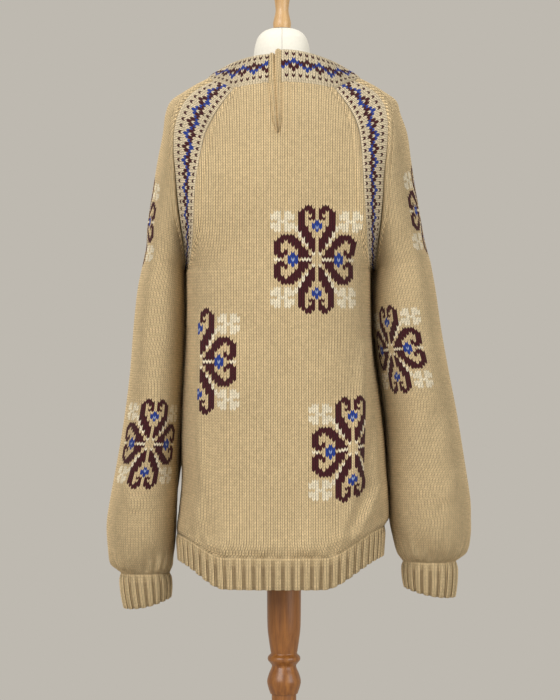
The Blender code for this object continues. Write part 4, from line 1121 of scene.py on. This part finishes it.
def make_knit(name, fabric, material, shell=False):
    """Turn stitches into a mesh, with an inner layer and rims where it is a shell."""
    height, width = fabric.points.shape[:2]
    outer = (fabric.points + fabric.normals * fabric.heights[..., None]).reshape(-1, 3)
    rows, columns = np.nonzero(fabric.keep)
    corner = rows * width + columns
    quads = np.stack([corner, corner + width, corner + width + 1, corner + 1], axis=1)
    offsets = np.array([[0, 0], [1, 0], [1, 1], [0, 1]])
    if not fabric.reverse:
        quads, offsets = quads[:, ::-1], offsets[::-1]
    row_at = rows[:, None] + offsets[None, :, 0]
    column_at = columns[:, None] + offsets[None, :, 1]
    letters = fabric.yarn[rows, columns // POINTS_PER_STITCH]
    points = outer
    if shell:
        inner = (fabric.points - fabric.normals * INNER_LAYER).reshape(-1, 3)
        edges = boundary(quads)
        count = len(outer)
        rims = np.stack([edges[:, 1], edges[:, 0], edges[:, 0] + count, edges[:, 1] + count], axis=1)
        rim_rows = rims % count // width
        rim_columns = rims % count % width
        place = np.minimum(edges.min(axis=1) // width, fabric.yarn.shape[0] - 1)
        across = np.minimum(edges.min(axis=1) % width, width - 2) // POINTS_PER_STITCH
        points = np.concatenate([outer, inner])
        quads = np.concatenate([quads, quads[:, ::-1] + count, rims])
        row_at = np.concatenate([row_at, row_at[:, ::-1], rim_rows])
        column_at = np.concatenate([column_at, column_at[:, ::-1], rim_columns])
        letters = np.concatenate([letters, letters, fabric.yarn[place, across]])
    used, packed = np.unique(quads, return_inverse=True)
    made = make_mesh(name, points[used], packed.reshape(quads.shape), material)
    columns_of = fabric.first_column + column_at / POINTS_PER_STITCH
    stitch = np.stack([columns_of, -row_at.astype(float)], axis=2)
    bake = np.stack([column_at / (width - 1), 1 - row_at / (height - 1)], axis=2)
    bake = bake * (1 - 2 * BAKE_MARGIN) + BAKE_MARGIN
    if shell:
        outside = np.arange(len(quads)) < len(rows)
        bake[..., 1] = bake[..., 1] * BAKE_HALF + np.where(outside, 0.5, 0.0)[:, None]
    for layer_name, values in (("stitch", stitch), ("OFBake", bake)):
        layer = made.data.uv_layers.new(name=layer_name)
        layer.uv.foreach_set("vector", values.astype(np.float32).ravel())
    colours = np.array([YARNS[letter] + (1.0,) for letter in letters])
    yarn = made.data.attributes.new("yarn", "FLOAT_COLOR", "CORNER")
    yarn.data.foreach_set("color", np.repeat(colours, 4, axis=0).astype(np.float32).ravel())
    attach(made, "root")
    return made


class Nodes:
    """Short calls for building a material's node tree."""

    def __init__(self, name):
        self.material = bpy.data.materials.new(name)
        self.material.use_nodes = True
        self.tree = self.material.node_tree
        self.shader = self.tree.nodes["Principled BSDF"]

    def set(self, socket, value):
        """Link an output into a socket, or set the socket's own value."""
        if isinstance(value, bpy.types.NodeSocket):
            self.tree.links.new(value, socket)
        else:
            socket.default_value = value

    def node(self, kind, inputs=(), **settings):
        """Add a node with its settings and inputs."""
        made = self.tree.nodes.new(kind)
        for key, value in settings.items():
            setattr(made, key, value)
        for key, value in dict(inputs).items():
            self.set(made.inputs[key], value)
        return made

    def place(self):
        """The surface's place in the object's own coordinates."""
        return self.node("ShaderNodeTexCoord").outputs["Object"]

    def math(self, operation, a, b=0.0):
        """One Math node."""
        return self.node("ShaderNodeMath", {0: a, 1: b}, operation=operation).outputs[0]

    def times(self, *values):
        """The product of two or more values."""
        made = values[0]
        for value in values[1:]:
            made = self.math("MULTIPLY", made, value)
        return made

    def arches(self, value, turns):
        """Rounded arches from 0 to 1, one for every half turn of a sine."""
        return self.math("ABSOLUTE", self.math("SINE", self.times(value, turns * math.pi)))

    def noise(self, vector, scale, detail=3.0, roughness=0.55):
        """A Noise texture's value."""
        made = self.node("ShaderNodeTexNoise", {
            "Vector": vector, "Scale": scale, "Detail": detail, "Roughness": roughness})
        return made.outputs[0]

    def ramp(self, value, low, high, start=0.0, end=1.0):
        """Map a value linearly from low..high to start..end."""
        made = self.node("ShaderNodeMapRange", {0: value, 1: low, 2: high, 3: start, 4: end})
        return made.outputs[0]

    def tint(self, colour, factor):
        """Multiply a colour by a number."""
        made = self.node("ShaderNodeVectorMath", {0: colour}, operation="SCALE")
        self.set(made.inputs["Scale"], factor)
        return made.outputs[0]

    def bump(self, height, distance, strength, before=None):
        """A Bump node, after another one where that is given."""
        made = self.node("ShaderNodeBump", {"Height": height, "Distance": distance, "Strength": strength})
        if before is not None:
            self.set(made.inputs["Normal"], before)
        return made.outputs[0]


def wool_material(name):
    """Knitted wool: every stitch has two rounded legs of twisted, slightly fuzzy yarn."""
    n = Nodes(name)
    yarn = n.node("ShaderNodeAttribute", attribute_name="yarn").outputs["Color"]
    place = n.node("ShaderNodeUVMap", uv_map="stitch").outputs[0]
    parts = n.node("ShaderNodeSeparateXYZ", {0: place})
    across, down = parts.outputs[0], parts.outputs[1]
    legs = n.math("POWER", n.arches(across, 2), LEG_ROUNDNESS)
    rows = n.math("POWER", n.arches(down, 1), ROW_ROUNDNESS)
    stitch = n.times(legs, n.ramp(rows, 0.0, 1.0, ROW_VALLEY, 1.0))
    stitch = n.times(stitch, n.ramp(n.arches(across, 1), 0.0, 0.5, COLUMN_VALLEY, 1.0))

    object_place = n.place()
    fuzz = n.noise(object_place, FUZZ_SCALE, 4.0, 0.7)
    heather = n.noise(object_place, HEATHER_SCALE, 3.0, 0.6)
    patches = n.noise(object_place, PATCH_SCALE, 2.0, 0.5)
    cell = n.node("ShaderNodeVectorMath", {0: place}, operation="FLOOR").outputs[0]
    odd = n.node("ShaderNodeTexWhiteNoise", {"Vector": cell}, noise_dimensions="2D").outputs[0]
    twist = n.math("SINE", n.math("ADD", n.times(down, TWIST_DOWN), n.times(across, TWIST_ACROSS)))

    # Painted shade in the stitch valleys and a painted highlight on the crests, times random tone of heather,
    # patches and single stitches
    shade = n.times(
        n.ramp(stitch, 0.05, 0.95, WOOL_VALLEY_PAINTED_SHADE, WOOL_CREST_PAINTED_HIGHLIGHT),
        n.ramp(heather, 0.3, 0.7, 0.90, 1.10),
        n.ramp(patches, 0.3, 0.7, 0.96, 1.04),
        n.ramp(odd, 0.0, 1.0, 0.94, 1.06))
    n.set(n.shader.inputs["Base Color"], n.tint(yarn, shade))
    n.set(n.shader.inputs["Roughness"], n.ramp(heather, 0.2, 0.8, 0.86, 0.98))
    n.shader.inputs["Specular IOR Level"].default_value = 0.25
    n.shader.inputs["Sheen Weight"].default_value = 0.05
    n.shader.inputs["Sheen Roughness"].default_value = 0.5
    n.shader.inputs["Sheen Tint"].default_value = (1.0, 0.95, 0.86, 1.0)
    relief_out = n.bump(stitch, STITCH_BUMP, 0.8)
    fine = n.math("ADD", n.times(twist, TWIST_SHARE), fuzz)
    n.set(n.shader.inputs["Normal"], n.bump(fine, YARN_BUMP, 0.6, relief_out))
    return n.material


def wood_material(name, light, dark):
    """Turned and varnished pine: long grain along the pole, and a soft gloss."""
    n = Nodes(name)
    place = n.place()
    long_grain = n.node("ShaderNodeMapping", {"Vector": place, "Scale": (1.0, 1.0, 0.06)}).outputs[0]
    streaks = n.noise(long_grain, STREAK_SCALE, 5.0, 0.65)
    rings = n.noise(long_grain, RING_SCALE, 2.0, 0.5)
    pores = n.noise(long_grain, PORE_SCALE, 2.0, 0.6)
    mixed = n.math("ADD", n.times(streaks, STREAK_SHARE), n.times(rings, 1 - STREAK_SHARE))
    colours = n.node("ShaderNodeValToRGB", {"Fac": n.ramp(mixed, 0.35, 0.65)})
    colours.color_ramp.elements[0].color = dark
    colours.color_ramp.elements[1].color = light
    n.set(n.shader.inputs["Base Color"], n.tint(colours.outputs[0], n.ramp(pores, 0.3, 0.7, 0.93, 1.05)))
    n.set(n.shader.inputs["Roughness"], n.ramp(streaks, 0.3, 0.7, 0.30, 0.46))
    n.shader.inputs["Coat Weight"].default_value = 0.15
    n.shader.inputs["Coat Roughness"].default_value = 0.2
    n.set(n.shader.inputs["Normal"], n.bump(streaks, GRAIN_BUMP, 0.35))
    return n.material


def cotton_material(name):
    """The form's plain cotton cover, with its fine weave and a stitched seam down the middle."""
    n = Nodes(name)
    place = n.place()
    parts = n.node("ShaderNodeSeparateXYZ", {0: place})
    threads = [n.math("SINE", n.times(parts.outputs[k], COTTON_THREADS)) for k in (0, 2)]
    weave = n.times(*threads)
    slubs = n.noise(place, SLUB_SCALE, 3.0, 0.6)
    stains = n.noise(place, STAIN_SCALE, 3.0, 0.5)
    off_seam = n.math("ABSOLUTE", n.math("SUBTRACT", parts.outputs[0], FORM_X))
    seam = n.ramp(off_seam, 0.0, COTTON_SEAM, 0.0, 1.0)
    shade = n.times(n.ramp(slubs, 0.3, 0.7, 0.96, 1.03), n.ramp(stains, 0.3, 0.7, 0.96, 1.02))
    shade = n.times(shade, n.ramp(seam, 0.0, 1.0, SEAM_SHADE, 1.0))
    n.set(n.shader.inputs["Base Color"], n.tint(COTTON_COLOUR, shade))
    n.set(n.shader.inputs["Roughness"], n.ramp(slubs, 0.3, 0.7, 0.78, 0.9))
    n.shader.inputs["Sheen Weight"].default_value = 0.15
    first = n.bump(seam, SEAM_BUMP, 0.8)
    fine = n.math("ADD", n.times(weave, 0.5), slubs)
    n.set(n.shader.inputs["Normal"], n.bump(fine, WEAVE_BUMP, 0.5, first))
    return n.material


def lathe(name, profile, centre_x, material, spans):
    """A turned piece whose profile runs smoothly through its table, closed at both ends."""
    places = np.linspace(0.0, len(profile) - 1, (len(profile) - 1) * spans + 1)
    rows = [read_row(profile, place) for place in places]
    line = [(max(row.radius, 0.0), row.z) for row in rows] + [(0.0, profile[-1].z)]
    if profile[0].radius > 0:
        line.insert(0, (0.0, profile[0].z))
    line = np.array(line)
    turn = np.arange(LATHE_STEPS + 1) / LATHE_STEPS * 2 * math.pi
    points = np.empty((len(line), LATHE_STEPS + 1, 3))
    points[..., 0] = centre_x + line[:, :1] * np.cos(turn)
    points[..., 1] = line[:, :1] * np.sin(turn)
    points[..., 2] = line[:, 1:]
    return tube(name, points, material)


def tube(name, points, material):
    """A closed tube through rings of points, each ring's last point on its first."""
    height, width = points.shape[:2]
    index = np.arange(height * width).reshape(height, width)
    quads = np.stack([index[:-1, :-1], index[1:, :-1], index[1:, 1:], index[:-1, 1:]], axis=2)
    made = make_mesh(name, points.reshape(-1, 3), quads.reshape(-1, 4), material)
    mesh = bmesh.new()
    mesh.from_mesh(made.data)
    bmesh.ops.remove_doubles(mesh, verts=mesh.verts, dist=MERGE_DISTANCE)
    bmesh.ops.dissolve_degenerate(mesh, edges=mesh.edges, dist=MERGE_DISTANCE / 10)
    bmesh.ops.recalc_face_normals(mesh, faces=mesh.faces)
    mesh.to_mesh(made.data)
    mesh.free()
    made.data.set_sharp_from_angle(angle=math.radians(SHARP_DEGREES))
    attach(made, "root")
    return made


def form_piece(material):
    """The limbless torso, lofted smoothly through its rings."""
    places = np.linspace(0.0, len(FORM_RINGS) - 1, (len(FORM_RINGS) - 1) * SPANS + 1)
    turn = np.linspace(0.0, 2 * math.pi, FORM_STEPS + 1)
    across, deep = (np.sign(way) * np.abs(way) ** (2 / FORM_POWER) for way in (np.cos(turn), np.sin(turn)))
    rings = []
    for place in places:
        ring = read_row(FORM_RINGS, place)
        x = FORM_X + ring.half_width * across
        y = np.where(deep < 0, -ring.back_y, ring.front_y) * deep
        rings.append(np.stack([x, y, np.full_like(x, ring.z)], axis=1))
    ends = [np.tile(ring.mean(axis=0), (len(turn), 1)) for ring in (rings[0], rings[-1])]
    return tube("dress_form", np.array([ends[0]] + rings + [ends[1]]), material)


def base_profile():
    """The stand's round foot: its eased upper edge, then its side."""
    profile = [Turn(0.0, BASE_HEIGHT)]
    profile += [Turn(BASE_RADIUS * f, BASE_HEIGHT) for f in (0.3, 0.6, 0.9)]
    profile.append(Turn(BASE_RADIUS - BASE_EDGE, BASE_HEIGHT))
    for i in range(1, EDGE_STEPS + 1):
        angle = math.pi / 2 * i / EDGE_STEPS
        radius = BASE_RADIUS - BASE_EDGE + BASE_EDGE * math.sin(angle)
        profile.append(Turn(radius, BASE_HEIGHT - BASE_EDGE + BASE_EDGE * math.cos(angle)))
    profile.append(Turn(BASE_RADIUS, 0.0))
    return profile


def floor():
    """A plain pale floor. The even light of the studio's air is the backdrop on every side."""
    points = [(x, y, 0.0) for y in (-FLOOR_REACH, FLOOR_REACH) for x in (-FLOOR_REACH, FLOOR_REACH)]
    n = Nodes("studio_paper")
    cloudy = n.noise(n.place(), CLOUD_SCALE, 2.0, 0.5)
    n.set(n.shader.inputs["Base Color"], n.tint(PAPER_COLOUR, n.ramp(cloudy, 0.3, 0.7, 0.98, 1.02)))
    n.shader.inputs["Roughness"].default_value = 0.95
    n.shader.inputs["Specular IOR Level"].default_value = 0.1
    make_mesh("floor", points, [(0, 1, 3, 2)], n.material)


def add_light(lamp):
    """A large soft lamp that faces a point."""
    data = bpy.data.lights.new(lamp.name, "AREA")
    data.shape = "RECTANGLE"
    data.size, data.size_y = lamp.size
    data.energy = lamp.power
    data.color = lamp.colour
    made = placed(lamp.name, data)
    made.location = lamp.place
    made.rotation_mode = "QUATERNION"
    made.rotation_quaternion = (Vector(lamp.target) - Vector(lamp.place)).to_track_quat("-Z", "Y")


def studio():
    """Floor, soft lamps, ambient light and the camera."""
    floor()
    for lamp in LAMPS:
        add_light(lamp)
    world = bpy.data.worlds.new("studio_air")
    world.use_nodes = True
    background = world.node_tree.nodes["Background"]
    background.inputs[0].default_value = AIR_COLOUR
    background.inputs[1].default_value = AIR_STRENGTH
    bpy.context.scene.world = world
    bpy.context.scene.view_settings.view_transform = "Standard"
    data = bpy.data.cameras.new("photo_camera")
    data.sensor_width = 36.0
    data.lens = CAMERA_LENS
    camera = placed("photo_camera", data)
    camera.location = CAMERA_PLACE
    camera.rotation_euler = (math.radians(90), 0.0, 0.0)
    bpy.context.scene.camera = camera


def declare(piece, node, finish, flat, area=None, held="hung", rests_on="dress_form"):
    """Hide the solid that a knitted piece stands for. Its finish and its cut are not used."""
    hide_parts(node)


def knit_piece(name, node, fabric, wool, cut, finish="wool_beige", shell=False):
    declare(make_knit(name, fabric, wool, shell), node, finish, *PANEL_CUTS[cut])


def main():
    cotton = cotton_material("cotton_cover")
    honey = wood_material("honey_pine", HONEY_LIGHT, HONEY_DARK)
    pale = wood_material("pale_pine", PALE_LIGHT, PALE_DARK)
    for made, node, finish in (
            (form_piece(cotton), "form_torso", "form_cotton"),
            (lathe("finial", FINIAL_PROFILE, FORM_X, pale, SPANS), "neck_finial", "wood_pale"),
            (lathe("turned_pole", POLE_PROFILE, 0.0, honey, SPANS), "pole", "wood_honey"),
            (lathe("round_foot", base_profile(), 0.0, honey, 1), "stand_base", "wood_honey")):
        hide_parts(node)

    wool = wool_material("knitted_wool")
    chart = flower_stitches()
    for face in ("back", "front"):
        places, lines = stitch_rows(lambda place: body_line(face, place), BODY_END, "axis")
        cut = (lambda number: slit_at(places[number])) if face == "back" else None
        fabric = panel_fabric(lines, "axis", cut)
        knit_flowers(fabric, face, chart)
        knit_piece("knitted_" + face, face + "_panel", fabric, wool, face)
    for side, word in ((-1, "left"), (1, "right")):
        line_at = lambda place: sleeve_line(side, place)
        _, lines = stitch_rows(line_at, SLEEVE_END, "crown", SLEEVE_GAUGE)
        fabric = panel_fabric(lines, "crown", width_at=gathered_widths)
        knit_flowers(fabric, "sleeve_" + word, chart)
        knit_piece("knitted_sleeve_" + word, "sleeve_" + word, fabric, wool, "sleeve")
        knit_piece("ribbed_cuff_" + word, "cuff_" + word, cuff_fabric(side), wool, "cuff", shell=True)
        knit_piece("slit_edge_" + word, "placket_" + word, placket_fabric(side), wool, "placket", shell=True)
        for face in ("back", "front"):
            name = face + "_" + word
            knit_piece("patterned_strip_" + name, "raglan_strip_" + name, strip_fabric(face, side), wool,
                       "strip", "wool_patterned")
    knit_piece("patterned_neckband", "neckband", neckband_fabric(), wool,
               "neckband", "wool_patterned", shell=True)
    knit_piece("ribbed_hem", "hem_rib", hem_fabric(), wool, "hem", shell=True)
    studio()


main()
